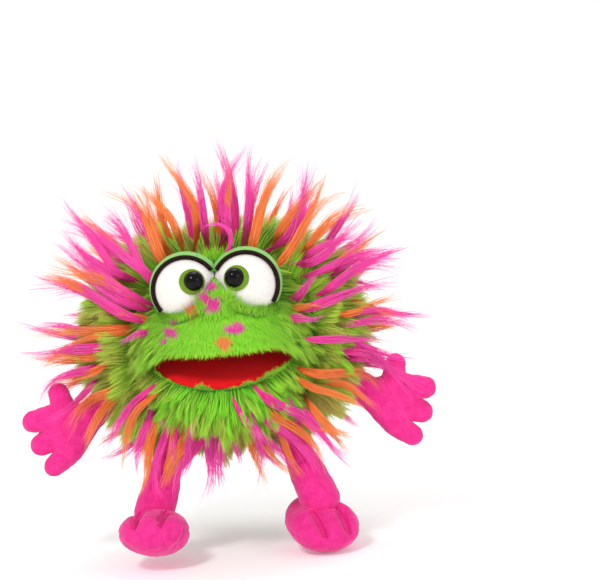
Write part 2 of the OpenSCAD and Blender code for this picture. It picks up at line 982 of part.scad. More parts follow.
body_fur();
body_padding();
sleeve_lining();
sleeve_hem();
mouth_fold_cord();
body_tufts_pink();
body_tufts_orange();
head_fur();
head_foam();
palate_lining();
palate_board();
finger_pocket();
head_tufts_pink();
head_tufts_orange();
jaw_fur();
jaw_foam();
mouth_floor_lining();
jaw_board();
thumb_pocket();
jaw_tufts_pink();
jaw_tufts_orange();
eye_felt(LEFT);  // left_eye_felt
eye_stuffing(LEFT);  // left_eye_stuffing
eyelid(LEFT);  // left_eyelid
lid_cord(LEFT);  // left_lid_cord
iris(LEFT);  // left_iris
pupil(LEFT);  // left_pupil
pupil_washer(LEFT);  // left_pupil_washer
eye_felt(RIGHT);  // right_eye_felt
eye_stuffing(RIGHT);  // right_eye_stuffing
eyelid(RIGHT);  // right_eyelid
lid_cord(RIGHT);  // right_lid_cord
iris(RIGHT);  // right_iris
pupil(RIGHT);  // right_pupil
pupil_washer(RIGHT);  // right_pupil_washer
arm_panel(LEFT, true);  // left_arm_front_panel
arm_panel(LEFT, false);  // left_arm_back_panel
arm_stuffing(LEFT);  // left_arm_stuffing
arm_panel(RIGHT, true);  // right_arm_front_panel
arm_panel(RIGHT, false);  // right_arm_back_panel
arm_stuffing(RIGHT);  // right_arm_stuffing
leg_panel(LEFT, true);  // left_leg_front_panel
leg_panel(LEFT, false);  // left_leg_back_panel
leg_stuffing(LEFT);  // left_leg_stuffing
leg_panel(RIGHT, true);  // right_leg_front_panel
leg_panel(RIGHT, false);  // right_leg_back_panel
leg_stuffing(RIGHT);  // right_leg_stuffing
foot_upper(LEFT);  // left_foot_upper
foot_sole(LEFT);  // left_foot_sole
foot_stuffing(LEFT);  // left_foot_stuffing
toe_stitches(LEFT);  // left_toe_stitches
foot_upper(RIGHT);  // right_foot_upper
foot_sole(RIGHT);  // right_foot_sole
foot_stuffing(RIGHT);  // right_foot_stuffing
toe_stitches(RIGHT);  // right_toe_stitches
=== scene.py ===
"""Moving mouth puppet: its looks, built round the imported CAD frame. Lengths are in metres."""
import json
import math

import bmesh
import bpy
import numpy as np
from mathutils import Matrix, Vector
from mathutils.bvhtree import BVHTree
from mathutils.kdtree import KDTree
from mathutils.noise import noise


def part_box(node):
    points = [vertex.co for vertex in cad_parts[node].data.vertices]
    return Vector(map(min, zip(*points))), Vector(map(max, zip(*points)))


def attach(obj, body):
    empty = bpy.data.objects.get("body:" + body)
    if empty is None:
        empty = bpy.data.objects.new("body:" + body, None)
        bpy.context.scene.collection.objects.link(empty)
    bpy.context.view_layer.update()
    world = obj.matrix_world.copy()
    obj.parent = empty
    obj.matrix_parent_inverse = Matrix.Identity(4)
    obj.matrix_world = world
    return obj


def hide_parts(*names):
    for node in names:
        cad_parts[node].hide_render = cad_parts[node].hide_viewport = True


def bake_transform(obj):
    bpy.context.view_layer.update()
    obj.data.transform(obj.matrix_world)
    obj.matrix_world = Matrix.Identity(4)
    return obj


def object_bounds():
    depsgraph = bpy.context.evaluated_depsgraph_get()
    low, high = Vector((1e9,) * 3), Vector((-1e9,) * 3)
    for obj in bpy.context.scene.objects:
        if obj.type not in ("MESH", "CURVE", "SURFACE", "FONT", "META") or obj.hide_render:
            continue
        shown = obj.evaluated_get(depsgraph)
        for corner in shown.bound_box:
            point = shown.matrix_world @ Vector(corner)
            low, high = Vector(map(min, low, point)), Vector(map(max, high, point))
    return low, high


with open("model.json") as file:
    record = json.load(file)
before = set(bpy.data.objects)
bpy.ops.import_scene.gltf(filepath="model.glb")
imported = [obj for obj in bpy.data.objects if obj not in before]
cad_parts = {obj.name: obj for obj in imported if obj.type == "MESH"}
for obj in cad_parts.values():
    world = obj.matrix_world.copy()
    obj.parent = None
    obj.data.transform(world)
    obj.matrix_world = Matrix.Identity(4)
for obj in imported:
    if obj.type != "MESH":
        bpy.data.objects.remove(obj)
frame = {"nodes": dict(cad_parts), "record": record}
cad_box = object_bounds()
scene = bpy.context.scene
MM = 0.001
SIDES = {"left": 1, "right": -1}

# -------- places, from the frame

JOINTS = {j["name"]: j for j in frame["record"]["behaviour"]["joints"]}
FOLD = np.array(JOINTS["upper_jaw_hinge"]["pos_m"])
body_lo, body_hi = (np.array(c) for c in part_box("body_fur"))
BODY_C = np.array([0, (body_lo[1] + body_hi[1]) / 2 - 10 * MM, (body_lo[2] + body_hi[2]) / 2 + 4 * MM])
head_lo = np.array(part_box("head_fur")[0])
# Middle of the muzzle's front
NOSE = np.array([0, head_lo[1], head_lo[2] + 22 * MM])


def unit(v):
    v = np.asarray(v, float)
    return v / np.maximum(np.linalg.norm(v, axis=-1, keepdims=True), 1e-9)


def smooth(x, low, high):
    """0 below low, 1 above high, and smooth between them."""
    t = np.clip((x - low) / (high - low), 0, 1)
    return t * t * (3 - 2 * t)


# -------- camera, light and floor

PHOTO_SCALE = 0.62 * MM  # metres of the object for each pixel of a 600 pixel wide picture
CAMERA_AWAY = 1.15
ELEVATION = math.radians(6)
ROLL = math.radians(5)
FACE = Vector((0, -65, 59)) * MM  # middle of the face, which the scale is true at


def add_camera():
    data = bpy.data.cameras.new("camera")
    data.sensor_width = 36
    data.lens = data.sensor_width * CAMERA_AWAY / (600 * PHOTO_SCALE)
    camera = bpy.data.objects.new("camera", data)
    back = Vector((0, -math.cos(ELEVATION), math.sin(ELEVATION)))
    level_up = Vector((0, math.sin(ELEVATION), math.cos(ELEVATION)))
    level_right = Vector((1, 0, 0))
    right = level_right * math.cos(ROLL) - level_up * math.sin(ROLL)
    up = level_up * math.cos(ROLL) + level_right * math.sin(ROLL)
    # The object stands left of the picture's middle and below it
    aim = FACE + right * 49 * MM + up * 31 * MM
    camera.matrix_world = Matrix.Translation(aim + back * CAMERA_AWAY) @ Matrix(
        (right, up, back)).transposed().to_4x4()
    scene.collection.objects.link(camera)
    scene.camera = camera


def add_light(name, place, size, power):
    data = bpy.data.lights.new(name, "AREA")
    data.shape = "DISK"
    data.size = size
    data.energy = power
    lamp = bpy.data.objects.new(name, data)
    lamp.location = place
    lamp.rotation_euler = (Vector(BODY_C) - Vector(place)).to_track_quat("-Z", "Y").to_euler()
    scene.collection.objects.link(lamp)


def add_backdrop():
    """A plain floor that curves up into a wall behind the puppet."""
    low, bend, back, half = cad_box[0].z - 1 * MM, 0.6, 1.6, 5.0
    curve = [(-4.0, 0.0), (back - bend, 0.0)]
    curve += [(back - bend + bend * math.sin(a), bend - bend * math.cos(a))
              for a in np.radians(np.arange(6, 91, 6))]
    curve.append((back, 5.0))
    points = [(x, y, low + z) for y, z in curve for x in (-half, half)]
    white = plain("backdrop", (0.92, 0.92, 0.92), 0.9, glow=0.16)
    backdrop = mesh_object("backdrop", points, grid_faces(len(curve), 2), white)


def add_studio():
    world = bpy.data.worlds.new("studio")
    world.use_nodes = True
    feed(world.node_tree.nodes["Background"], {"Color": (1, 1, 1, 1), "Strength": 0.62})
    scene.world = world
    scene.view_settings.view_transform = "Standard"
    add_light("key", (-0.6, -1.0, 1.2), 0.35, 11)
    add_light("fill", (1.0, -1.0, 0.5), 0.9, 4)
    add_light("top", (0.1, 0.4, 1.3), 0.8, 5)
    add_backdrop()


# -------- materials


def feed(node, inputs):
    """Sets each input to its value, or links it to another node's output."""
    for key, value in inputs.items():
        if isinstance(value, bpy.types.NodeSocket):
            node.id_data.links.new(value, node.inputs[key])
        else:
            node.inputs[key].default_value = value


def new_material(name):
    material = bpy.data.materials.new(name)
    material.use_nodes = True
    tree = material.node_tree
    return material, tree, tree.nodes["Principled BSDF"]


def add_node(tree, kind, inputs=None, **settings):
    node = tree.nodes.new(kind)
    for key, value in settings.items():
        setattr(node, key, value)
    feed(node, inputs or {})
    return node


def ramp(tree, stops, source):
    """A colour ramp through (place, colour) stops."""
    node = add_node(tree, "ShaderNodeValToRGB", {"Fac": source})
    elements = node.color_ramp.elements
    while len(elements) < len(stops):
        elements.new(0.5)
    for element, (place, colour) in zip(elements, stops):
        element.position = place
        element.color = (*colour, 1)
    return node.outputs["Color"]


def relief(tree, strength, distance, height):
    bump = add_node(tree, "ShaderNodeBump", {"Strength": strength, "Distance": distance, "Height": height})
    return bump.outputs["Normal"]


def plain(name, colour, roughness, glow=0.0):
    material, tree, shader = new_material(name)
    spots = add_node(tree, "ShaderNodeTexNoise", {"Scale": 30.0})
    darker = tuple(c * 0.97 for c in colour)
    feed(shader, {"Emission Color": (1, 1, 1, 1), "Emission Strength": glow, "Roughness": roughness,
                  "Base Color": ramp(tree, [(0.3, darker), (0.7, colour)], spots.outputs["Fac"])})
    return material


def cloth(name, low, high, mottle, fibre, bump, sheen=0.35, sheen_tint=(1, 1, 1), weave=False):
    """Felt, plush or woven cloth: mottled between two colours, with a fibre bump.
    mottle and fibre are feature sizes in mm, and bump is a height in mm."""
    mottle, fibre, bump = mottle * MM, fibre * MM, bump * MM
    material, tree, shader = new_material(name)
    place = add_node(tree, "ShaderNodeTexCoord").outputs["Object"]
    broad = add_node(tree, "ShaderNodeTexNoise", {
        "Vector": place, "Scale": 1 / mottle, "Detail": 4.0, "Roughness": 0.65}).outputs["Fac"]
    fine = add_node(tree, "ShaderNodeTexNoise", {
        "Vector": place, "Scale": 1 / fibre, "Detail": 3.0, "Roughness": 0.7}).outputs["Fac"]
    both = add_node(tree, "ShaderNodeMix", {"Factor": 0.45, "A": broad, "B": fine}, data_type="FLOAT")
    height = fine
    if weave:
        for axis in ("X", "Z"):
            threads = add_node(tree, "ShaderNodeTexWave", {
                "Vector": place, "Scale": 0.16 / fibre, "Distortion": 0.6},
                wave_type="BANDS", bands_direction=axis)
            height = add_node(tree, "ShaderNodeMath", {0: height, 1: threads.outputs["Fac"]},
                              operation="ADD").outputs["Value"]
    feed(shader, {"Roughness": 0.9, "Specular IOR Level": 0.15, "Sheen Weight": sheen,
                  "Sheen Roughness": 0.4, "Sheen Tint": (*sheen_tint, 1),
                  "Base Color": ramp(tree, [(0.32, low), (0.68, high)], both.outputs["Result"]),
                  "Normal": relief(tree, 0.6, bump, height)})
    return material


# Places along the palette that a strand's shade runs over
NEON, YELLOW, OLIVE, PINK, ORANGE = 0.0, 0.25, 0.5, 0.75, 1.0


def pile_material():
    """Fur strands: UV x picks the dye and UV y runs from root to tip."""
    material, tree, shader = new_material("pile")
    uv = add_node(tree, "ShaderNodeUVMap", uv_map="OFBake")
    split = add_node(tree, "ShaderNodeSeparateXYZ", {"Vector": uv.outputs["UV"]})
    roots = ramp(tree, [
        (NEON, (0.15, 0.60, 0.012)), (YELLOW, (0.22, 0.50, 0.018)), (OLIVE, (0.25, 0.34, 0.014)),
        (0.62, (0.27, 0.28, 0.014)), (0.66, (0.86, 0.022, 0.22)), (PINK, (0.90, 0.030, 0.30)),
        (0.86, (0.90, 0.03, 0.30)), (0.90, (0.93, 0.12, 0.015)), (ORANGE, (0.95, 0.17, 0.02))],
        split.outputs["X"])
    tips = ramp(tree, [
        (NEON, (0.26, 0.86, 0.02)), (YELLOW, (0.45, 0.72, 0.05)), (OLIVE, (0.60, 0.58, 0.10)),
        (0.62, (0.62, 0.48, 0.13)), (0.66, (0.95, 0.05, 0.38)), (PINK, (0.97, 0.085, 0.50)),
        (0.86, (0.97, 0.09, 0.50)), (0.90, (0.96, 0.20, 0.04)), (ORANGE, (0.97, 0.30, 0.075))],
        split.outputs["X"])
    ease = add_node(tree, "ShaderNodeMapRange", {
        "From Min": 0.1, "From Max": 0.85, "Value": split.outputs["Y"]}, interpolation_type="SMOOTHSTEP")
    along = add_node(tree, "ShaderNodeMix", {"Factor": ease.outputs["Result"], "A": roots, "B": tips},
                     data_type="RGBA")
    feed(shader, {"Roughness": 0.55, "Specular IOR Level": 0.25, "Sheen Weight": 0.25,
                  "Sheen Roughness": 0.5, "Base Color": along.outputs["Result"]})
    return material


def gloss_material():
    """Polished black plastic with faint moulding swirls."""
    material, tree, shader = new_material("pupil_gloss")
    swirl = add_node(tree, "ShaderNodeTexNoise", {"Scale": 300.0, "Detail": 2.0}).outputs["Fac"]
    stops = [(0.3, (0.002, 0.002, 0.002)), (0.8, (0.008, 0.007, 0.008))]
    feed(shader, {"Roughness": 0.05, "Specular IOR Level": 0.14, "Base Color": ramp(tree, stops, swirl)})
    return material


def cord_material(name, low, high):
    """A tightly wound piping cord: fine slanted ribs."""
    material, tree, shader = new_material(name)
    place = add_node(tree, "ShaderNodeTexCoord").outputs["Object"]
    ribs = add_node(tree, "ShaderNodeTexWave", {
        "Vector": place, "Scale": 260.0, "Distortion": 2.0, "Detail": 2.0},
        wave_type="BANDS", bands_direction="DIAGONAL").outputs["Fac"]
    feed(shader, {"Roughness": 0.85, "Specular IOR Level": 0.1,
                  "Base Color": ramp(tree, [(0.2, low), (0.8, high)], ribs),
                  "Normal": relief(tree, 0.7, 0.3 * MM, ribs)})
    return material


def give(obj, material):
    obj.data.materials.clear()
    obj.data.materials.append(material)


# -------- mesh helpers


def node_mesh(name):
    """Vertices and triangles of a CAD node, as arrays."""
    obj = frame["nodes"][name]
    mesh = obj.data
    mesh.calc_loop_triangles()
    co = np.empty(len(mesh.vertices) * 3)
    mesh.vertices.foreach_get("co", co)
    tri = np.empty(len(mesh.loop_triangles) * 3, int)
    mesh.loop_triangles.foreach_get("vertices", tri)
    world = np.array(obj.matrix_world)
    return co.reshape(-1, 3) @ world[:3, :3].T + world[:3, 3], tri.reshape(-1, 3)


def triangle_facts(points, triangles):
    a, b, c = (points[triangles[:, k]] for k in range(3))
    cross = np.cross(b - a, c - a)
    return (a + b + c) / 3, unit(cross), np.linalg.norm(cross, axis=1) / 2


def scatter(points, triangles, count, rng):
    """Points spread evenly over triangles, with their normals."""
    _, normals, areas = triangle_facts(points, triangles)
    pick = rng.choice(len(triangles), count, p=areas / areas.sum())
    u, v = rng.random((2, count, 1))
    flip = u + v > 1
    u, v = np.where(flip, 1 - u, u), np.where(flip, 1 - v, v)
    a, b, c = (points[triangles[pick, k]] for k in range(3))
    return a + (b - a) * u + (c - a) * v, normals[pick]


def kd_tree(points):
    tree = KDTree(len(points))
    for i, p in enumerate(points):
        tree.insert(Vector(p), i)
    tree.balance()
    return tree


def grid_faces(rows, cols, wrap=False):
    """Quads between the rows of a grid of points; wrap joins each row's ends."""
    return [(i * cols + j, i * cols + (j + 1) % cols, (i + 1) * cols + (j + 1) % cols, (i + 1) * cols + j)
            for i in range(rows - 1) for j in range(cols if wrap else cols - 1)]


def new_object(name, mesh):
    obj = bpy.data.objects.new(name, mesh)
    scene.collection.objects.link(obj)
    return obj


def shade_smooth(obj):
    obj.data.polygons.foreach_set("use_smooth", [True] * len(obj.data.polygons))


def mesh_object(name, points, faces, material):
    mesh = bpy.data.meshes.new(name)
    mesh.from_pydata([tuple(p) for p in points], [], [tuple(int(i) for i in f) for f in faces])
    mesh.validate()
    obj = new_object(name, mesh)
    shade_smooth(obj)
    give(obj, material)
    return obj


def vertex_places(obj):
    return np.array([v.co[:] for v in obj.data.vertices])


def vertex_normals(obj):
    return np.array([v.normal[:] for v in obj.data.vertices])


def place_vertices(obj, places):
    obj.data.vertices.foreach_set("co", places.ravel())


def apply_modifiers(obj):
    depsgraph = bpy.context.evaluated_depsgraph_get()
    mesh = bpy.data.meshes.new_from_object(obj.evaluated_get(depsgraph))
    obj.modifiers.clear()
    obj.data = mesh


def subdivide(obj, levels):
    modifier = obj.modifiers.new("subdivide", "SUBSURF")
    modifier.levels = modifier.render_levels = levels
    apply_modifiers(obj)


def strand_object(name, paths, facing, width, shade, body, replaced=()):
    """Flat tapering strands. paths is (strand, step, 3), facing is where each flat side looks, and
    width and shade are one number or one for each strand."""
    count, steps = paths.shape[0], paths.shape[1] - 1
    width, shade = (np.broadcast_to(a, count) for a in (width, shade))
    tangent = unit(np.gradient(paths, axis=1))
    across = unit(np.cross(tangent, facing[:, None, :]))[:, :steps]
    t = np.arange(steps) / steps
    half = (width[:, None] * 0.5 * (1 - 0.8 * t ** 1.5))[..., None]
    sides = np.stack([paths[:, :steps] - across * half, paths[:, :steps] + across * half], axis=2)
    points = np.concatenate([sides.reshape(count, 2 * steps, 3), paths[:, steps:]], axis=1)
    per = 2 * steps + 1
    corner = [i for k in range(steps - 1) for i in (2 * k, 2 * k + 1, 2 * k + 3, 2 * k + 2)]
    corner += [2 * steps - 2, 2 * steps - 1, 2 * steps]
    loops = (np.arange(count)[:, None] * per + np.array(corner)).ravel()
    sizes = np.tile([4] * (steps - 1) + [3], count)
    starts = np.concatenate([[0], np.cumsum(sizes)[:-1]])
    mesh = bpy.data.meshes.new(name)
    mesh.vertices.add(count * per)
    mesh.vertices.foreach_set("co", points.reshape(-1).astype(np.float32))
    mesh.loops.add(len(loops))
    mesh.loops.foreach_set("vertex_index", loops.astype(np.int32))
    mesh.polygons.add(len(sizes))
    mesh.polygons.foreach_set("loop_start", starts.astype(np.int32))
    mesh.polygons.foreach_set("use_smooth", np.ones(len(sizes), bool))
    mesh.update(calc_edges=True)
    along = np.repeat(np.arange(steps) / steps, 2).tolist() + [1.0]
    uv = np.empty((count, len(corner), 2), np.float32)
    uv[:, :, 0] = shade[:, None]
    uv[:, :, 1] = np.array(along)[corner]
    layer = mesh.uv_layers.new(name="OFBake")
    layer.data.foreach_set("uv", uv.reshape(-1))
    obj = new_object(name, mesh)
    give(obj, MATERIALS["pile"])
    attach(obj, body)
    if replaced:
        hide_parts(*replaced)
    return obj


def strand_paths(roots, first, last, length, steps, wave, rng):
    """Paths that leave along first, bend to last and wave sideways; neighbours wave together."""
    t = (np.arange(steps) + 0.5) / steps
    heading = unit(first[:, None] * (1 - t[None, :, None]) + last[:, None] * t[None, :, None])
    moves = heading * (length / steps)[:, None, None]
    paths = np.concatenate([roots[:, None], roots[:, None] + np.cumsum(moves, axis=1)], axis=1)
    aside = unit(np.cross(first, last))
    phase = noise_at(roots, 38) * 9
    turns = rng.uniform(0.75, 1.25, len(roots))
    s = np.linspace(0, 1, steps + 1)[None, :]
    swing = np.sin(2 * math.pi * turns[:, None] * s + phase[:, None]) - np.sin(phase)[:, None]
    return paths + aside[:, None] * (swing * s * wave * length[:, None])[..., None]


def noise_at(points, scale, shift=0.0):
    return np.array([noise(Vector(p) * scale + Vector((shift, shift, shift))) for p in points])


def facing_front(count, up, spread, rng):
    """Flat sides that look forwards and a little up, with some spread."""
    return unit(np.array([0, -1, up]) + rng.normal(0, spread, (count, 3)))


def on_line(points, at):
    """Places along a chain of points, where at counts its links."""
    return np.stack([np.interp(at, np.arange(len(points)), points[:, k]) for k in range(3)], axis=1)


def gather(paths, per_lock, pull, rng, stray=0.10):
    """Draws the strands' tips together into pointed locks. Returns the paths and the lock numbers."""
    count = len(paths)
    guides = rng.choice(count, max(1, count // per_lock), replace=False)
    strays = rng.normal(0, stray, (len(guides), 3))
    tree = kd_tree(paths[guides, 0])
    nearest = np.array([tree.find(Vector(p))[1] for p in paths[:, 0]])
    t = np.linspace(0, 1, paths.shape[1])[None, :, None]
    strength = (pull * rng.uniform(0.45, 1.0, count))[:, None, None] * t ** 1.3
    length = np.linalg.norm(paths[:, -1] - paths[:, 0], axis=1)[:, None, None]
    gathered = paths + (paths[guides[nearest]] - paths) * strength
    return gathered + strays[nearest][:, None] * length * t ** 1.5, nearest


# -------- fur

SKIN_SINK = 1.5 * MM


def outward_triangles(points, triangles, centre):
    middle, normals, _ = triangle_facts(points, triangles)
    return triangles[np.einsum("ij,ij->i", normals, unit(middle - centre)) > 0.35]


def fur_roots(node, centre, count, rng):
    """Roots and outward directions, spread evenly over the outside of a fur cover."""
    points, triangles = node_mesh(node)
    return scatter(points, outward_triangles(points, triangles, centre), count, rng)


def brushed(roots, source, rng, sway):
    """Which way the pile lies at each root: away from a source point, a little down, and in swirls."""
    away = roots - source
    away[:, 1] *= 0.35
    away = unit(away)
    # Over the widest ring the pile turns back, so that it doesn't stand straight out sideways
    behind = smooth(roots[:, 1], -30 * MM, 25 * MM)[:, None]
    away = unit(away * (1 - 0.55 * behind) + np.array([0, 0.55, -0.45]) * behind)
    swirl = np.array([[noise(Vector(p) * 42 + Vector((9 * k, 0, 0))) for k in range(3)] for p in roots])
    return unit(away + [0, 0, -0.14] + sway * swirl + rng.normal(0, 0.10, roots.shape))


def green_shades(roots, locks, rng):
    """Neon by the muzzle and yellow-green to olive further out, lock by lock."""
    far = smooth(np.linalg.norm((roots - NOSE) * [1, 0.8, 1], axis=1), 25 * MM, 88 * MM)
    lock_tone = rng.normal(0, 0.10, locks.max() + 1)[locks]
    patch = noise_at(roots, 60)
    tone = 0.03 + 0.39 * far + 0.22 * patch * far + lock_tone + rng.normal(0, 0.045, len(roots))
    return np.clip(tone, 0.0, 0.60)


PILE_STEPS, PILE_WAVE = 5, 0.06


def grow(name, body, roots, normals, source, length, width, lift, rng, per_lock, pull,
         sway=0.4, shade=None, stray=0.10, replaced=()):
    """Pile on one part of the fur. length and lift are given for each strand."""
    flow = brushed(roots, source, rng, sway)
    first = unit(normals * lift[:, None] + flow * 0.55)
    last = unit(normals * lift[:, None] * 0.3 + flow + np.array([0, 0, -0.15]))
    paths = strand_paths(roots - normals * SKIN_SINK, first, last, length, PILE_STEPS, PILE_WAVE, rng)
    paths, locks = gather(paths, per_lock, pull, rng, stray)
    if shade is None:
        shade = green_shades(roots, locks, rng)
    facing = unit(normals + rng.normal(0, 0.35, normals.shape))
    strand_object(name, paths, facing, width, shade, body, replaced)


SPOTS = [  # x, z, half width, half height in mm from the nose's middle, dye
    (-3, 11, 7, 4.5, PINK), (-4, 21, 6, 3, PINK), (9, -4, 6.5, 4.2, PINK), (-27, -5, 4.5, 4, PINK),
    (-32, -10, 2, 1.6, PINK), (19, 12, 3, 1.8, PINK),
    (-16, 5.5, 4.5, 4, ORANGE), (3, -12, 5.5, 4.5, ORANGE), (-9.5, 18, 2.8, 2.2, ORANGE),
]


def spotted(roots, shade, rng):
    """Dyed spots on the muzzle's short pile."""
    for x, z, half_w, half_h, dye in SPOTS:
        dx = (roots[:, 0] - NOSE[0] - x * MM) / (half_w * MM)
        dz = (roots[:, 2] - NOSE[2] - z * MM) / (half_h * MM)
        inside = dx ** 2 + dz ** 2 < rng.uniform(0.55, 1.1, len(roots)) ** 2
        shade = np.where(inside & (roots[:, 1] < -70 * MM), dye, shade)
    return shade


# The pile is brushed away from the middle of the brow on the head, from the mouth on the chin, and
# from the nose on the body
BROW = np.array(FACE + Vector((0, 10, 46)) * MM)
MOUTH = np.array(FACE + Vector((0, 20, 0)) * MM)
HEAD_STRANDS, FRINGE_STRANDS, JAW_STRANDS, CHEEK_STRANDS, BODY_STRANDS = 46000, 60000, 22000, 6000, 80000


def add_head_fur(rng):
    """Short pile on the snout and between the eyes, and long pile on the rest of the head."""
    roots, normals = fur_roots("head_fur", FOLD, HEAD_STRANDS, rng)
    aside = smooth(np.abs(roots[:, 0]), 30 * MM, 44 * MM)
    behind = smooth(roots[:, 1], -70 * MM, -45 * MM)
    bridge = smooth(np.abs(roots[:, 0]), 14 * MM, 9 * MM) * smooth(roots[:, 1], -50 * MM, -60 * MM)
    lip = smooth(roots[:, 2], 63 * MM, 56 * MM)
    long = np.maximum(aside, behind) * (1 - bridge)
    below_eyes = smooth(roots[:, 2], 68 * MM, 78 * MM) * (1 - bridge * smooth(roots[:, 2], 80 * MM, 88 * MM))
    length = (5.5 + 17 * long + 2 * lip + 3 * below_eyes) * MM * rng.uniform(0.75, 1.15, len(roots))
    lift = 0.36 - 0.1 * lip + 0.1 * below_eyes
    keep = clear_of_eyes(roots)
    roots, normals, length, lift, long = (a[keep] for a in (roots, normals, length, lift, long))
    shade = green_shades(roots, np.zeros(len(roots), int), rng)
    near = smooth(roots[:, 1], -45 * MM, -75 * MM)
    shade = np.clip(shade + 0.065 * rng.normal(0, 1, len(roots)) * (1 - near), 0, 0.56)
    shade = spotted(roots, shade, rng)
    snout = long < 0.35
    grow("snout_pile", "upper_jaw", roots[snout], normals[snout], BROW, length[snout], 0.42 * MM,
         lift[snout], rng, per_lock=30, pull=0.1, sway=0.12, shade=shade[snout], stray=0.02,
         replaced=("head_fur",))
    for name, half in (("head_pile_left", roots[:, 0] > 0), ("head_pile_right", roots[:, 0] <= 0)):
        part = ~snout & half
        grow(name, "upper_jaw", roots[part], normals[part], BROW, length[part], 0.5 * MM, lift[part],
             rng, per_lock=40, pull=0.7, shade=shade[part])


def add_eye_fringe(rng):
    """Pile that leans from the snout over the lower inner edge of each eye."""
    roots, _ = fur_roots("head_fur", FOLD, FRINGE_STRANDS, rng)
    for side, sign in SIDES.items():
        centre, radius = EYES[side]
        out = roots - centre
        far = np.linalg.norm(out, axis=1)
        # Turn round the eye, seen from the front: 0 is straight down and 90 is the inner side
        turn = np.degrees(np.arctan2(-out[:, 0] * sign, -out[:, 2]))
        cover = smooth(turn, -98, -58) * smooth(turn, 82, 50) * (0.55 + 0.45 * smooth(turn, -20, 40))
        chosen = (far > radius) & (far < radius + 6 * MM) & (out[:, 1] < 4 * MM)
        chosen &= cover > 0.6 * rng.random(len(roots))
        spot, away, cover = roots[chosen], unit(out[chosen]), cover[chosen]
        count = len(spot)
        # Along the eyeball towards its front and up, spread a little
        ahead = np.array([0, -1, 0.5]) - away * (away @ [0, -1, 0.5])[:, None]
        ahead = unit(ahead + rng.normal(0, 0.22, ahead.shape))
        last = unit(ahead + np.array([0.15 * sign, 0.1, 0.3]))
        length = (3.5 + 6.5 * cover) * MM * rng.uniform(0.5, 1.15, count)
        paths = strand_paths(spot - away * 0.5 * MM, unit(ahead + away * 0.25), last, length, 4, 0.04, rng)
        gap = paths - centre
        reach = np.linalg.norm(gap, axis=2, keepdims=True)
        paths = centre + gap * np.maximum(1, (radius + 0.5 * MM) / reach)
        shade = spotted(paths[:, 2], np.clip(0.15 + rng.normal(0, 0.05, count), 0, 0.3), rng)
        facing = unit(away * 0.3 + np.array([0, -0.8, 0.6]) + rng.normal(0, 0.15, away.shape))
        strand_object(f"{side}_eye_fringe", paths, facing, 0.4 * MM, shade, "upper_jaw")


def clear_of_eyes(roots):
    keep = np.ones(len(roots), bool)
    for centre, radius in EYES.values():
        keep &= np.linalg.norm(roots - centre, axis=1) > radius
    return keep


def add_jaw_fur(rng):
    roots, normals = fur_roots("jaw_fur", FOLD, JAW_STRANDS, rng)
    lip = smooth(roots[:, 2], 26 * MM, 34 * MM)
    aside = smooth(np.abs(roots[:, 0]), 25 * MM, 42 * MM)
    length = (25 - 12 * lip + 4 * aside) * MM * rng.uniform(0.7, 1.15, len(roots))
    # Short at the back of the chin, which turns in under the sleeve's lining when the mouth opens
    length *= 1 - 0.5 * smooth(roots[:, 1], -58 * MM, -44 * MM) * smooth(roots[:, 2], 40 * MM, 25 * MM)
    grow("jaw_pile", "lower_jaw", roots, normals, MOUTH, length, 0.55 * MM, 0.42 + 0.5 * lip, rng,
         per_lock=40, pull=0.75, sway=0.5, replaced=("jaw_fur",))


def cheek_strip(side):
    """Fur cloth from the body's front edge back to the mouth's corner, which closes the gap beside
    the jaws, as points and triangles."""
    points, _ = node_mesh("body_fur")
    centre = (points - BODY_C) * [side, 1, 1]
    angles = np.radians(np.arange(-58, 59, 4))
    turn = np.arctan2(centre[:, 2], centre[:, 0])
    outer = []
    for a in angles:
        ring = centre[np.abs(turn - a) < math.radians(7)]
        outer.append(ring[ring[:, 1].argmin()])
    outer = np.array(outer)
    outer = np.array([outer[max(0, i - 2):i + 3].mean(axis=0) for i in range(len(outer))])
    outer = outer * [side, 1, 1] + BODY_C
    inner = np.array([[side * (48 - 12 * math.sin(a) ** 2), 2, 46 * math.sin(a)] for a in angles]) * MM
    inner = inner + [0, FOLD[1], FOLD[2]]
    t = np.linspace(0, 1, 8)[:, None, None]
    bow = np.sin(math.pi * t) * np.array([0, -3 * MM, 0])
    grid = outer[None] * (1 - t) + inner[None] * t + bow
    flat = grid.reshape(-1, 3)
    triangles = np.array([t for a, b, c, d in grid_faces(*grid.shape[:2]) for t in ((a, b, c), (a, c, d))])
    normals = triangle_facts(flat, triangles)[1]
    if normals[:, 1].mean() > 0:
        triangles = triangles[:, ::-1]
    return flat, triangles


def add_cheeks(rng):
    for name, side in SIDES.items():
        points, triangles = cheek_strip(side)
        skin = mesh_object(f"{name}_cheek_skin", points, triangles, MATERIALS["fur_backing"])
        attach(skin, "torso")
        roots, normals = scatter(points, triangles, CHEEK_STRANDS, rng)
        length = rng.uniform(17, 26, len(roots)) * MM
        grow(f"{name}_cheek_pile", "torso", roots, normals, FOLD, length, 0.6 * MM,
             np.full(len(roots), 0.38), rng, per_lock=40, pull=0.75)


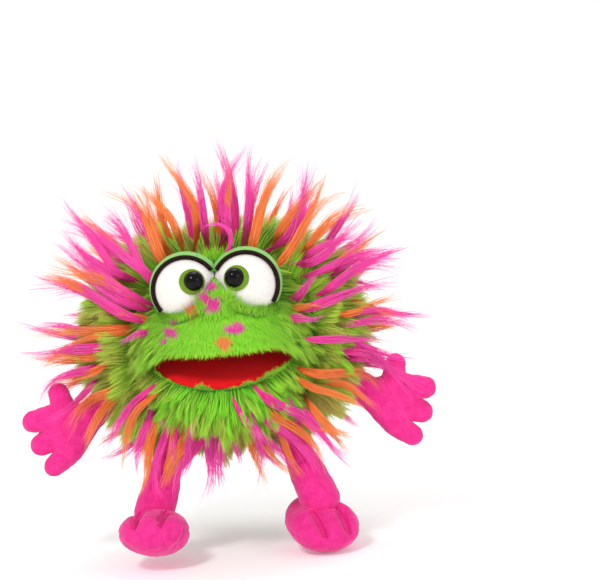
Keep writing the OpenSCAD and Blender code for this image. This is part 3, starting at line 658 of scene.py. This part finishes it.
def add_body_fur(rng):
    roots, normals = fur_roots("body_fur", BODY_C, BODY_STRANDS, rng)
    # The way in for the hand stays clear
    keep = np.hypot(roots[:, 0], roots[:, 1]) > np.where(roots[:, 2] < 12 * MM, 40 * MM, 0)
    roots, normals = roots[keep], normals[keep]
    patch = noise_at(roots, 48, 3)
    under = smooth(roots[:, 2], 25 * MM, 3 * MM)
    sides = smooth(np.abs(roots[:, 0]), 45 * MM, 78 * MM)
    length = (30 + 8 * patch + 3 * smooth(-roots[:, 1], -40 * MM, 40 * MM) - 8 * under - 9 * sides) * MM
    length *= (1 - 0.36 * smooth(roots[:, 1], 28 * MM, 55 * MM)) * rng.uniform(0.7, 1.15, len(roots))
    lift = 0.40 - 0.12 * sides - 0.1 * smooth(roots[:, 1], 20 * MM, 50 * MM)
    front = roots[:, 1] < BODY_C[1]
    left = roots[:, 0] > 0
    upper = roots[:, 2] > BODY_C[2]
    replaced = ("body_fur",)
    for name, part in (("front", front), ("back", ~front & ~upper), ("crown", ~front & upper)):
        for side, half in (("left", left), ("right", ~left)):
            here = part & half
            grow(f"{name}_pile_{side}", "torso", roots[here], normals[here], NOSE, length[here], 0.62 * MM,
                 lift[here], rng, per_lock=55, pull=0.8, replaced=replaced)
            replaced = ()


# -------- locks and tufts


def loose_parts(points, triangles):
    """The vertex numbers of each separate surface."""
    group = np.arange(len(points))
    while True:
        low = group[triangles].min(axis=1)
        new = group.copy()
        for k in range(3):
            np.minimum.at(new, triangles[:, k], low)
        new = new[new]
        if (new == group).all():
            break
        group = new
    return [np.flatnonzero(group == g) for g in np.unique(group[triangles])]


def cad_tufts(node):
    """Root, heading and length of each slim cone in a CAD node."""
    points, triangles = node_mesh(node)
    found = []
    for part in loose_parts(points, triangles):
        p = points[part]
        centre = p.mean(axis=0)
        axes = np.linalg.svd(p - centre, full_matrices=False)[2]
        along = (p - centre) @ axes[0]
        reach = along.max() - along.min()
        if reach < 12 * MM:
            continue
        low, high = p[along < along.min() + reach * 0.05], p[along > along.max() - reach * 0.05]
        if np.ptp(low, axis=0).max() < np.ptp(high, axis=0).max():
            low, high = high, low
        root, tip = low.mean(axis=0), high.mean(axis=0)
        found.append((root, unit(tip - root), np.linalg.norm(tip - root)))
    return found


SPINE_STEPS = 8


def lock_sides(heading):
    """The two directions across a lock: along its flat and out of it."""
    side = unit(np.cross(heading, [0, 1, 0]) + 1e-6)
    return side, unit(np.cross(heading, side))


def line_length(points):
    return np.linalg.norm(np.diff(points, axis=0), axis=1).sum()


def straight_spine(heading, length, rng):
    """A lock's middle line: nearly straight, with a sweep towards its tip."""
    side, flat = lock_sides(heading)
    t = np.linspace(0, 1, SPINE_STEPS + 1)[:, None]
    sweep = rng.uniform(0.02, 0.24) * (side * rng.choice((-1, 1)) + flat * rng.uniform(-0.6, 0.6))
    bend = rng.uniform(-0.05, 0.05) * side * np.sin(math.pi * 1.6 * t)
    return (heading * t + sweep * t ** 2.2 + bend) * length


def lock_paths(root, spine, rng, strands, width, fork=0.075):
    """Strands side by side along a spine: narrow at the root, together for most of their length, then
    parted in wisps that thin out to single hairs."""
    length = line_length(spine)
    heading = unit(spine[-1] - spine[0])
    side, flat = lock_sides(heading)
    t = np.linspace(0, 1, SPINE_STEPS + 1)[:, None]
    wisps = int(rng.integers(3, 6))
    wisp = rng.integers(0, wisps, strands)
    part_at = rng.uniform(0.3, 0.55)
    apart = (side * rng.normal(0, fork, wisps)[:, None] * length
             + flat * rng.normal(0, fork / 2, wisps)[:, None] * length)
    reach = (rng.uniform(0.42, 1.0, strands) * rng.uniform(0.78, 1.0, wisps)[wisp])[:, None, None]
    radius = width * np.sqrt(rng.random(strands))
    angle = rng.uniform(0, 2 * math.pi, strands)
    off = side * (radius * np.cos(angle))[:, None] + flat * (radius * 0.5 * np.sin(angle))[:, None]
    tt = t[None] * reach
    girth = 0.2 + 0.9 * smooth(tt, 0.0, 0.25) - 0.85 * smooth(tt, 0.3, 1.0)
    loose = rng.normal(0, 0.02, (strands, 3)) * rng.choice((1, 3), (strands, 1), p=(0.9, 0.1))
    along = np.stack([np.interp(tt[:, :, 0], t[:, 0], spine[:, k]) for k in range(3)], axis=2)
    return (root + along + off[:, None] * girth + apart[wisp][:, None] * smooth(tt, part_at, 1.2) ** 1.3
            + loose[:, None] * length * tt ** 2)


def add_locks(name, body, dye, locks, rng, replaced=()):
    """Locks of long pile, each given as its root, its spine and its half width."""
    paths, facing, shade = [], [], []
    for root, spine, width in locks:
        length = line_length(spine)
        strands = int((30 + 900 * length) * width / (2.4 * MM))
        paths.append(lock_paths(root, spine, rng, strands, width))
        facing.append(facing_front(strands, 0.25, 0.5, rng))
        shade.append(np.clip(dye + rng.normal(0, 0.03, strands), dye - 0.08, min(1.0, dye + 0.08)))
    paths, facing, shade = np.concatenate(paths), np.concatenate(facing), np.concatenate(shade)
    width = rng.uniform(0.28, 0.5, len(paths)) * MM
    strand_object(name, paths, facing, width, shade, body, replaced)


def either_dye(rng):
    return PINK if rng.random() < 0.6 else ORANGE


# Sprays of locks that start on the face and lie over the green pile, seen from the front: first and
# last angle in degrees (0 is the puppet's left, 90 is up), how many, how far the roots and the tips
# are from the face's middle in mm, and how much further round the tips are than the roots
SPRAYS = [
    (56, 128, 12, 60, 124, 0),
    (30, 56, 6, 66, 127, -4),
    (-18, 28, 13, 60, 127, -8),
    (-50, -24, 6, 60, 114, 2),
    (128, 164, 11, 64, 127, -5),
    (164, 196, 10, 64, 129, 8),
    (198, 242, 11, 54, 112, 12),
    (244, 262, 7, 40, 108, -4),
    (262, 284, 5, 42, 96, 0),
    (284, 304, 7, 40, 108, 4),
]
ROOT_VARY, TIP_VARY, TURN_VARY = 14, 10, 5  # each lock differs from its row by up to these
# How far in front of the fur's backing a lock leaves the pile, and where the pile's own surface lies
ROOT_OUT = 12 * MM
PILE_OUT = np.array([24, 22, 24]) * MM
# The lowest locks hang in front of the legs
HANG_BELOW, HANG_Y = 20 * MM, -66 * MM
MAX_WALK = 6  # a root beside the fur is moved in this many times, and then its lock is left out


def pile_surface(x, z):
    """How far forward the surface of the body's pile stands."""
    half = (body_hi - body_lo) / 2 + PILE_OUT
    far = np.hypot((x - BODY_C[0]) / half[0], (z - BODY_C[2]) / half[2])
    return BODY_C[1] - half[1] * np.sqrt(1 - np.minimum(far, 0.96) ** 2)


def spray_locks(rng):
    """Each lock's root angle and distance, tip angle and distance, half width and dye."""
    locks = []
    for first, last, count, root_far, tip_far, turn in SPRAYS:
        for k in range(count):
            angle = first + (last - first) * (k + rng.uniform(0.2, 0.8)) / count
            locks.append((angle, root_far + rng.uniform(-1, 1) * ROOT_VARY,
                          angle + turn + rng.uniform(-1, 1) * TURN_VARY,
                          tip_far + rng.uniform(-1, 1) * TIP_VARY, rng.uniform(2.0, 3.2), either_dye(rng)))
    return locks


def add_face_locks(rng):
    """Finds where each lock starts by looking at the fur from the front, and lays it over the pile."""
    bodies = {"head_fur": "upper_jaw", "jaw_fur": "lower_jaw", "body_fur": "torso"}
    trees = {}
    for node in bodies:
        points, triangles = node_mesh(node)
        trees[node] = BVHTree.FromPolygons([Vector(p) for p in points], triangles.tolist())
    groups = {}
    t = np.linspace(0, 1, SPINE_STEPS + 1)
    for root_angle, root_far, tip_angle, tip_far, half_width, dye in spray_locks(rng):
        ends = []
        for angle, far in ((root_angle, root_far), (tip_angle, tip_far)):
            a = math.radians(angle)
            ends.append(np.array([far * math.cos(a), far * math.sin(a)]) * MM + [FACE.x, FACE.z])
        hits, walk = [], 0
        while not hits and walk < MAX_WALK:
            start = Vector((ends[0][0], -0.3, ends[0][1]))
            hits = [(tree.ray_cast(start, Vector((0, 1, 0))), node) for node, tree in trees.items()]
            hits = [(hit[3], hit[0], node) for hit, node in hits
                    if hit[0] is not None and hit[0].y < BODY_C[1]]
            if not hits:  # beside the fur: start nearer the face
                ends[0] = ends[0] + ([FACE.x, FACE.z] - ends[0]) * 0.06
                walk += 1
        if not hits:
            continue
        _, place, node = min(hits, key=lambda h: h[0])
        # The way out bends from radial towards the tip, and drops a little with its own weight
        span = ends[1] - ends[0]
        aside = np.array([-span[1], span[0]])
        bow = (rng.uniform(-0.15, 0.15) * np.sin(math.pi * t)
               + rng.uniform(-0.05, 0.05) * np.sin(2 * math.pi * t))
        flat = ends[0] + span * t[:, None] + aside * bow[:, None]
        over = pile_surface(flat[:, 0], flat[:, 1])
        out = place.y - ROOT_OUT * smooth(t, 0.0, 0.2)
        y = out + (np.minimum(over, out + 55 * MM * t) - out) * smooth(t, 0.05, 0.5)
        hang = smooth(flat[:, 1], HANG_BELOW + 8 * MM, HANG_BELOW - 8 * MM)
        y = y + (np.minimum(y, HANG_Y) - y) * hang
        spine = np.stack([flat[:, 0], y, flat[:, 1]], axis=1)
        groups.setdefault((bodies[node], dye), []).append((spine[0], spine - spine[0], half_width * MM))
    for (body, dye), locks in sorted(groups.items()):
        add_locks(f"{body}_face_locks_{'pink' if dye == PINK else 'orange'}", body, dye, locks, rng)


MANE_COUNT, MANE_FRONT, MANE_BACK = 75, -30 * MM, 32 * MM  # how many locks, and between which places along Y


def add_mane(rng):
    """Locks over the sides and the top of the body, which lie back with the pile."""
    roots, normals = fur_roots("body_fur", BODY_C, 1500, rng)
    inside = (roots[:, 1] > MANE_FRONT) & (roots[:, 1] < MANE_BACK) & (roots[:, 2] > 25 * MM)
    chosen = np.flatnonzero(inside)[:MANE_COUNT]
    headings = unit(normals[chosen] * 0.45 + brushed(roots[chosen], NOSE, rng, 0.2))
    groups = {PINK: [], ORANGE: []}
    for root, heading in zip(roots[chosen], headings):
        dye = either_dye(rng)
        spine = straight_spine(heading, rng.uniform(34, 52) * MM, rng)
        groups[dye].append((root, spine, rng.uniform(1.8, 2.8) * MM))
    add_locks("mane_pink", "torso", PINK, groups[PINK], rng)
    add_locks("mane_orange", "torso", ORANGE, groups[ORANGE], rng)


def add_forelock(rng):
    """The thin curled lock over the brow, as places in mm from the face's middle."""
    corners = np.array(FACE) + np.array([
        (-1, 2, 43), (6, 0, 50), (12, -2, 58), (12, -3, 67), (6, -4, 73), (-3, -3, 73), (-8, -2, 68)]) * MM
    spine = on_line(corners, np.linspace(0, len(corners) - 1, SPINE_STEPS + 1))
    paths = lock_paths(spine[0], spine - spine[0], rng, 70, 1.3 * MM, fork=0.02)
    strand_object("forelock", paths, facing_front(len(paths), 0.2, 0.4, rng), 0.45 * MM, PINK, "upper_jaw")


def add_brow_tuft(rng):
    """A little green pile that fills the notch between the two lids."""
    (left, radius), (right, _) = EYES["left"], EYES["right"]
    middle, count = (left + right) / 2, 420
    spread = rng.normal(0, 1, (count, 3)) * [3.4 * MM, 2 * MM, 1 * MM]
    roots = middle + np.array([0, 8 * MM, 0.58 * radius]) + spread
    first = unit(np.array([0, -0.25, 1]) + rng.normal(0, 0.12, roots.shape))
    last = unit(first + (roots - middle) * [60, 0, 0])
    paths = strand_paths(roots, first, last, rng.uniform(6, 12, count) * MM, 4, 0.05, rng)
    facing = facing_front(count, 0.2, 0.3, rng)
    shade = np.clip(0.2 + rng.normal(0, 0.08, count), 0, 0.5)
    strand_object("brow_tuft", paths, facing, 0.5 * MM, shade, "upper_jaw")


def add_all_tufts(rng):
    for part, body in (("body", "torso"), ("head", "upper_jaw"), ("jaw", "lower_jaw")):
        for colour, dye in (("pink", PINK), ("orange", ORANGE)):
            node = f"{part}_tufts_{colour}"
            locks = [(root, straight_spine(heading, length * rng.uniform(1.02, 1.22), rng),
                      rng.uniform(1.8, 2.9) * MM) for root, heading, length in cad_tufts(node)]
            add_locks(f"{part}_locks_{colour}", body, dye, locks, rng, (node,))
    add_face_locks(rng)
    add_forelock(rng)
    add_brow_tuft(rng)
    add_mane(rng)


# -------- eyes, finishes and backing cloth


def fit_sphere(node):
    """Centre and radius of the sphere that a CAD node's outer face lies on."""
    points, _ = node_mesh(node)
    a = np.c_[2 * points, np.ones(len(points))]
    centre = points.mean(axis=0)
    for _ in range(6):
        radius = np.linalg.norm(points - centre, axis=1)
        outer = radius > radius.max() - 1.2 * MM
        solved = np.linalg.lstsq(a[outer], (points[outer] ** 2).sum(axis=1), rcond=None)[0]
        centre = solved[:3]
    return centre, math.sqrt(solved[3] + (centre ** 2).sum())


CLOTHS = {  # two colours, then mottle, fibre and bump in mm, and what differs in sheen or weave
    "fur_backing": ((0.05, 0.16, 0.008), (0.10, 0.26, 0.012), 4, 0.5, 0.3),
    "pink_plush": ((0.72, 0.012, 0.20), (0.95, 0.050, 0.34), 5, 0.45, 0.35, 0.6, (1, 0.55, 0.8)),
    "white_felt": ((0.80, 0.74, 0.68), (0.93, 0.90, 0.86), 1.8, 0.35, 0.15),
    "green_felt": ((0.15, 0.45, 0.075), (0.24, 0.60, 0.13), 1.8, 0.35, 0.15),
    "olive_felt": ((0.12, 0.22, 0.012), (0.19, 0.33, 0.025), 1.2, 0.3, 0.12),
    "red_felt": ((0.72, 0.004, 0.008), (0.86, 0.010, 0.014), 2.5, 0.4, 0.18, 0.2, (1, 0.4, 0.4)),
    # The palate's felt: the same red felt, darker as painted shade under the upper lip
    "red_felt_painted_shade": ((0.36, 0.003, 0.006), (0.50, 0.006, 0.010), 2.5, 0.4, 0.18, 0.1, (1, 0.4, 0.4)),
    "lining_cloth": ((0.70, 0.66, 0.58), (0.84, 0.81, 0.74), 6, 0.6, 0.12, 0.35, (1, 1, 1), True),
    "stuffing": ((0.82, 0.82, 0.80), (0.93, 0.93, 0.91), 2.5, 0.5, 0.6),
    "foam": ((0.78, 0.72, 0.50), (0.90, 0.86, 0.66), 1.2, 0.4, 0.4, 0.0),
    "stiffener": ((0.40, 0.28, 0.14), (0.55, 0.40, 0.22), 8, 0.3, 0.05, 0.0),
    "hem_band": ((0.10, 0.30, 0.012), (0.18, 0.42, 0.02), 3, 0.5, 0.2, 0.35, (1, 1, 1), True),
}
MATERIALS = {name: cloth(name, *row) for name, row in CLOTHS.items()} | {
    "pile": pile_material(),
    "washer": plain("washer", (0.80, 0.77, 0.66), 0.45),
    "thread": cord_material("pink_thread", (0.60, 0.01, 0.15), (0.85, 0.03, 0.28)),
    "lid_cord": cord_material("lid_cord", (0.006, 0.003, 0.003), (0.035, 0.014, 0.012)),
    "fold_cord": cord_material("fold_cord", (0.30, 0.002, 0.004), (0.55, 0.006, 0.008)),
    "gloss": gloss_material(),
}
EYES = {side: fit_sphere(f"{side}_eye_felt") for side in SIDES}

# The filling of each stuffed limb, and the two panels that are sewn together round it
LIMBS = {"arm": ("stuffing", "front_panel", "back_panel"), "leg": ("stuffing", "front_panel", "back_panel"),
         "foot": ("stuffing", "upper", "sole")}
STUFFED = {f"{side}_{limb}": [f"{side}_{limb}_{part}" for part in parts]
           for side in SIDES for limb, parts in LIMBS.items()}
CAD_FINISH = {
    "body_padding": "stuffing", "sleeve_lining": "lining_cloth", "sleeve_hem": "hem_band",
    "mouth_fold_cord": "fold_cord", "head_foam": "foam", "jaw_foam": "foam",
    "palate_board": "stiffener", "jaw_board": "stiffener",
    "finger_pocket": "lining_cloth", "thumb_pocket": "lining_cloth",
    "palate_lining": "red_felt", "mouth_floor_lining": "red_felt",
}
for side in SIDES:
    CAD_FINISH |= {
        f"{side}_eye_felt": "white_felt", f"{side}_eye_stuffing": "stuffing", f"{side}_eyelid": "green_felt",
        f"{side}_lid_cord": "lid_cord", f"{side}_iris": "olive_felt", f"{side}_pupil": "gloss",
        f"{side}_pupil_washer": "washer", f"{side}_toe_stitches": "thread",
    }
for filling, *panels in STUFFED.values():
    CAD_FINISH |= {filling: "stuffing"} | dict.fromkeys(panels, "pink_plush")


def add_skin(name, node, body):
    """The fur's backing cloth, a little under the CAD shell's outer face."""
    points, triangles = node_mesh(node)
    obj = mesh_object(name, points, triangles, MATERIALS["fur_backing"])
    bm = bmesh.new()
    bm.from_mesh(obj.data)
    bmesh.ops.remove_doubles(bm, verts=bm.verts, dist=0.02 * MM)
    bmesh.ops.recalc_face_normals(bm, faces=bm.faces)
    bm.normal_update()
    for v in bm.verts:
        v.co -= v.normal * 0.8 * MM
    bm.to_mesh(obj.data)
    bm.free()
    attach(obj, body)


# -------- stuffed limbs, mouth cloth and lining

VOXEL = 1.5 * MM
SWELL = 2.2 * MM  # the cloth starts this far outside the filling
CAP = 1.6 * MM  # and no point moves further than this
SIM_FRAMES = 20


def nearest_distance(points, targets):
    tree = kd_tree(targets)
    return np.array([tree.find(Vector(p))[2] for p in points])


def shared_points(first, second):
    """Points where two CAD panels touch, which is where they are sewn together."""
    a, b = node_mesh(first)[0], node_mesh(second)[0]
    return a[nearest_distance(a, b) < 0.05 * MM]


def inflate(obj):
    """Blows the cloth up a little, as stuffing does, with each point's move capped."""
    start = vertex_places(obj)
    cloth_sim = obj.modifiers.new("cloth", "CLOTH")
    settings = cloth_sim.settings
    settings.quality = 4
    settings.mass = 0.2
    settings.tension_stiffness = settings.compression_stiffness = 12
    settings.bending_stiffness = 0.3
    settings.use_pressure = True
    settings.uniform_pressure_force = 4
    settings.shrink_min = -0.04
    settings.effector_weights.gravity = 0
    cloth_sim.point_cache.frame_start, cloth_sim.point_cache.frame_end = 1, SIM_FRAMES
    for frame_number in range(1, SIM_FRAMES + 1):
        scene.frame_set(frame_number)
    apply_modifiers(obj)
    scene.frame_set(1)
    moved = vertex_places(obj) - start
    far = np.linalg.norm(moved, axis=1, keepdims=True)
    moved *= np.minimum(1, CAP / np.maximum(far, 1e-9))
    place_vertices(obj, start + moved)


def add_stuffed(name, nodes):
    filling, first, second = nodes
    points, triangles = node_mesh(filling)
    obj = mesh_object(f"{name}_plush", points, triangles, MATERIALS["pink_plush"])
    remesh = obj.modifiers.new("remesh", "REMESH")
    remesh.mode, remesh.voxel_size = "VOXEL", VOXEL
    apply_modifiers(obj)
    bm = bmesh.new()
    bm.from_mesh(obj.data)
    bmesh.ops.smooth_vert(bm, verts=bm.verts, factor=0.5, use_axis_x=True, use_axis_y=True, use_axis_z=True)
    bm.normal_update()
    for v in bm.verts:
        v.co += v.normal * SWELL
    bm.to_mesh(obj.data)
    bm.free()
    inflate(obj)
    subdivide(obj, 1)
    sew(obj, name, first, second)
    give(obj, MATERIALS["pink_plush"])
    shade_smooth(obj)
    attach(obj, name)
    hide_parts(*nodes)


def sew(obj, name, first, second):
    """Draws the cloth in along the seam between its two panels and, on a foot, along the toe stitches."""
    seam = shared_points(first, second)
    co, normals = vertex_places(obj), vertex_normals(obj)
    centre = seam.mean(axis=0)
    plane = np.linalg.svd(seam - centre, full_matrices=False)[2][2]
    off = np.abs((co - centre) @ plane)
    edge = smooth(np.abs(normals @ plane), 0.8, 0.4)
    pull = 0.75 * MM * np.exp(-(off / (0.8 * MM)) ** 2) * edge
    ripple = noise_at(co, 300) + noise_at(co, 120)
    pull += 0.22 * MM * ripple * np.exp(-(off / (5 * MM)) ** 2) + 0.10 * MM * ripple
    if name.endswith("foot"):
        thread = node_mesh(f"{name.split('_')[0]}_toe_stitches")[0]
        pull += 2.2 * MM * np.exp(-(nearest_distance(co, thread) / (2.6 * MM)) ** 2)
    place_vertices(obj, co - normals * pull[:, None])


LEG_R, LEG_TAPER = 11.4, 0.064  # mm at the ankle, and thinner by this share of the way up the leg
RINGS, RING_POINTS = 13, 32


def add_ankles():
    """Plush that goes from each leg into its foot and bends at the ankle."""
    for side in SIDES:
        ankle = np.array(JOINTS[f"{side}_ankle"]["pos_m"])
        hip = np.array(JOINTS[f"{side}_hip"]["pos_m"])
        shin = unit(hip - ankle)
        across = unit(np.cross(shin, [0, 1, 0]))
        ahead = np.cross(across, shin)
        rings = []
        for t in np.linspace(0, 1, RINGS):
            down = 40 * t - 17
            centre = ankle - shin * down * MM + np.array([0, -2.5, 0]) * MM * smooth(t, 0.3, 1.0)
            flare = 0.8 * smooth(down, -4, 8) - 4.0 * smooth(down, 12, 22)
            radius = (LEG_R + LEG_TAPER * min(0, down) + 0.7 * smooth(t, 0.0, 0.2) + flare) * MM
            rings.append([centre + (across * math.cos(a) + ahead * 1.12 * math.sin(a)) * radius
                          for a in np.linspace(0, 2 * math.pi, RING_POINTS, endpoint=False)])
        points = np.array(rings).reshape(-1, 3)
        faces = grid_faces(RINGS, RING_POINTS, wrap=True)
        obj = mesh_object(f"{side}_ankle_plush", points, faces, MATERIALS["pink_plush"])
        subdivide(obj, 2)
        co, normals = vertex_places(obj), vertex_normals(obj)
        ripple = noise_at(co * [90, 90, 260], 1)
        place_vertices(obj, co + normals * 0.45 * MM * ripple[:, None])
        shade_smooth(obj)
        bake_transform(obj)


def add_mouth_cloth():
    """The red felt inside each jaw: it covers the plate, turns over the lip, and meets its twin at
    the fold."""
    # The palate gets the darker red felt, which is painted shade under the upper lip; it is the same red
    # felt as the mouth floor's
    for node, board, body, sign, felt in (
            ("palate_lining", "palate_board", "upper_jaw", 1, "red_felt_painted_shade"),
            ("mouth_floor_lining", "jaw_board", "lower_jaw", -1, "red_felt")):
        points, _ = node_mesh(node)
        rel = points - FOLD
        reach = np.hypot(rel[:, 1], rel[:, 2]).max() + 3.2 * MM
        near = rel[np.abs(rel[:, 0]) < 6 * MM]
        face = near[(sign * near[:, 2] / np.hypot(near[:, 1], near[:, 2])).argmin()]
        ahead = unit(np.array([0, face[1], face[2]]))
        away = np.cross([-sign, 0, 0], ahead)
        away = away * np.sign(away @ [0, 0, sign])
        half_w = np.abs(rel[:, 0]).max() + 3.2 * MM
        across, along = 41, 25
        grid = np.empty((along, across, 3))
        for i in range(along):
            for j in range(across):
                u, s = 2 * j / (across - 1) - 1, i / (along - 1)
                span = math.sqrt(1 - (0.96 * u) ** 2) * reach
                rise = (0.5 * MM * noise(Vector((u * 3, s * 3, sign)))
                        + 0.35 * MM * noise(Vector((u * 9, s * 7, sign))))
                lip = smooth(s, 0.93, 1.0) * 1.6 * MM
                grid[i, j] = (FOLD + np.array([half_w * u, 0, 0]) + ahead * (span * s)
                              + away * (-0.5 * MM + rise * math.sin(math.pi * s) + lip))
        faces = grid_faces(along, across)
        obj = mesh_object(f"{body}_mouth_felt", grid.reshape(-1, 3), faces, MATERIALS[felt])
        subdivide(obj, 1)
        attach(obj, body)
        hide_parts(node)
        if body == "lower_jaw":
            add_lip_fringe(grid[-1], -away, np.random.default_rng(17))


def add_lip_fringe(edge, up, rng):
    """Short pile that stands up round the lower lip and breaks the felt's clean edge."""
    count = 2600
    at = rng.uniform(0.04, 0.96, count) * (len(edge) - 1)
    roots = on_line(edge, at)
    out = unit(roots - FOLD)
    clump = noise_at(roots, 130)
    first = unit(up * 1.5 + out * 0.8 + rng.normal(0, 0.25, out.shape))
    last = unit(up * 0.9 + out * 0.8 + rng.normal(0, 0.35, out.shape))
    length = np.clip(4 + 9 * clump, 1.5, 8) * MM * rng.uniform(0.6, 1.2, count)
    paths = strand_paths(roots - up * 1.2 * MM + out * 0.4 * MM, first, last, length, 4, 0.04, rng)
    facing = facing_front(count, 0.4, 0.3, rng)
    shade = np.clip(0.12 + 0.12 * clump + rng.normal(0, 0.05, count), 0, 0.5)
    strand_object("lip_fringe", paths, facing, 0.45 * MM, shade, "lower_jaw")


def add_lining():
    """The sleeve's lining cloth, creased where the hand goes in."""
    obj = mesh_object("sleeve_lining_cloth", *node_mesh("sleeve_lining"), MATERIALS["lining_cloth"])
    bm = bmesh.new()
    bm.from_mesh(obj.data)
    bmesh.ops.remove_doubles(bm, verts=bm.verts, dist=0.02 * MM)
    for longest in (8, 4, 2):
        edges = [e for e in bm.edges if e.calc_length() > longest * MM]
        bmesh.ops.subdivide_edges(bm, edges=edges, cuts=1)
        bmesh.ops.triangulate(bm, faces=bm.faces)
    for v in bm.verts:
        # Both faces of the cloth move alike: long creases up the sleeve and small ones across them
        inward = Vector((-v.co.x, -v.co.y, 0)).normalized()
        turn = math.atan2(v.co.y, v.co.x)
        crease = noise(Vector((turn * 5, v.co.z * 25, 2))) + 0.5 * noise(v.co * 140)
        v.co += inward * (0.5 + crease) * 0.8 * MM
    bm.to_mesh(obj.data)
    bm.free()
    shade_smooth(obj)
    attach(obj, "torso")
    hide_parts("sleeve_lining")


add_camera()
add_studio()
for node, finish in CAD_FINISH.items():
    give(frame["nodes"][node], MATERIALS[finish])
add_skin("body_skin", "body_fur", "torso")
add_skin("head_skin", "head_fur", "upper_jaw")
add_skin("jaw_skin", "jaw_fur", "lower_jaw")
for name, nodes in STUFFED.items():
    add_stuffed(name, nodes)
add_ankles()
add_mouth_cloth()
add_lining()
add_head_fur(np.random.default_rng(11))
add_eye_fringe(np.random.default_rng(16))
add_jaw_fur(np.random.default_rng(12))
add_body_fur(np.random.default_rng(13))
add_cheeks(np.random.default_rng(15))
add_all_tufts(np.random.default_rng(14))
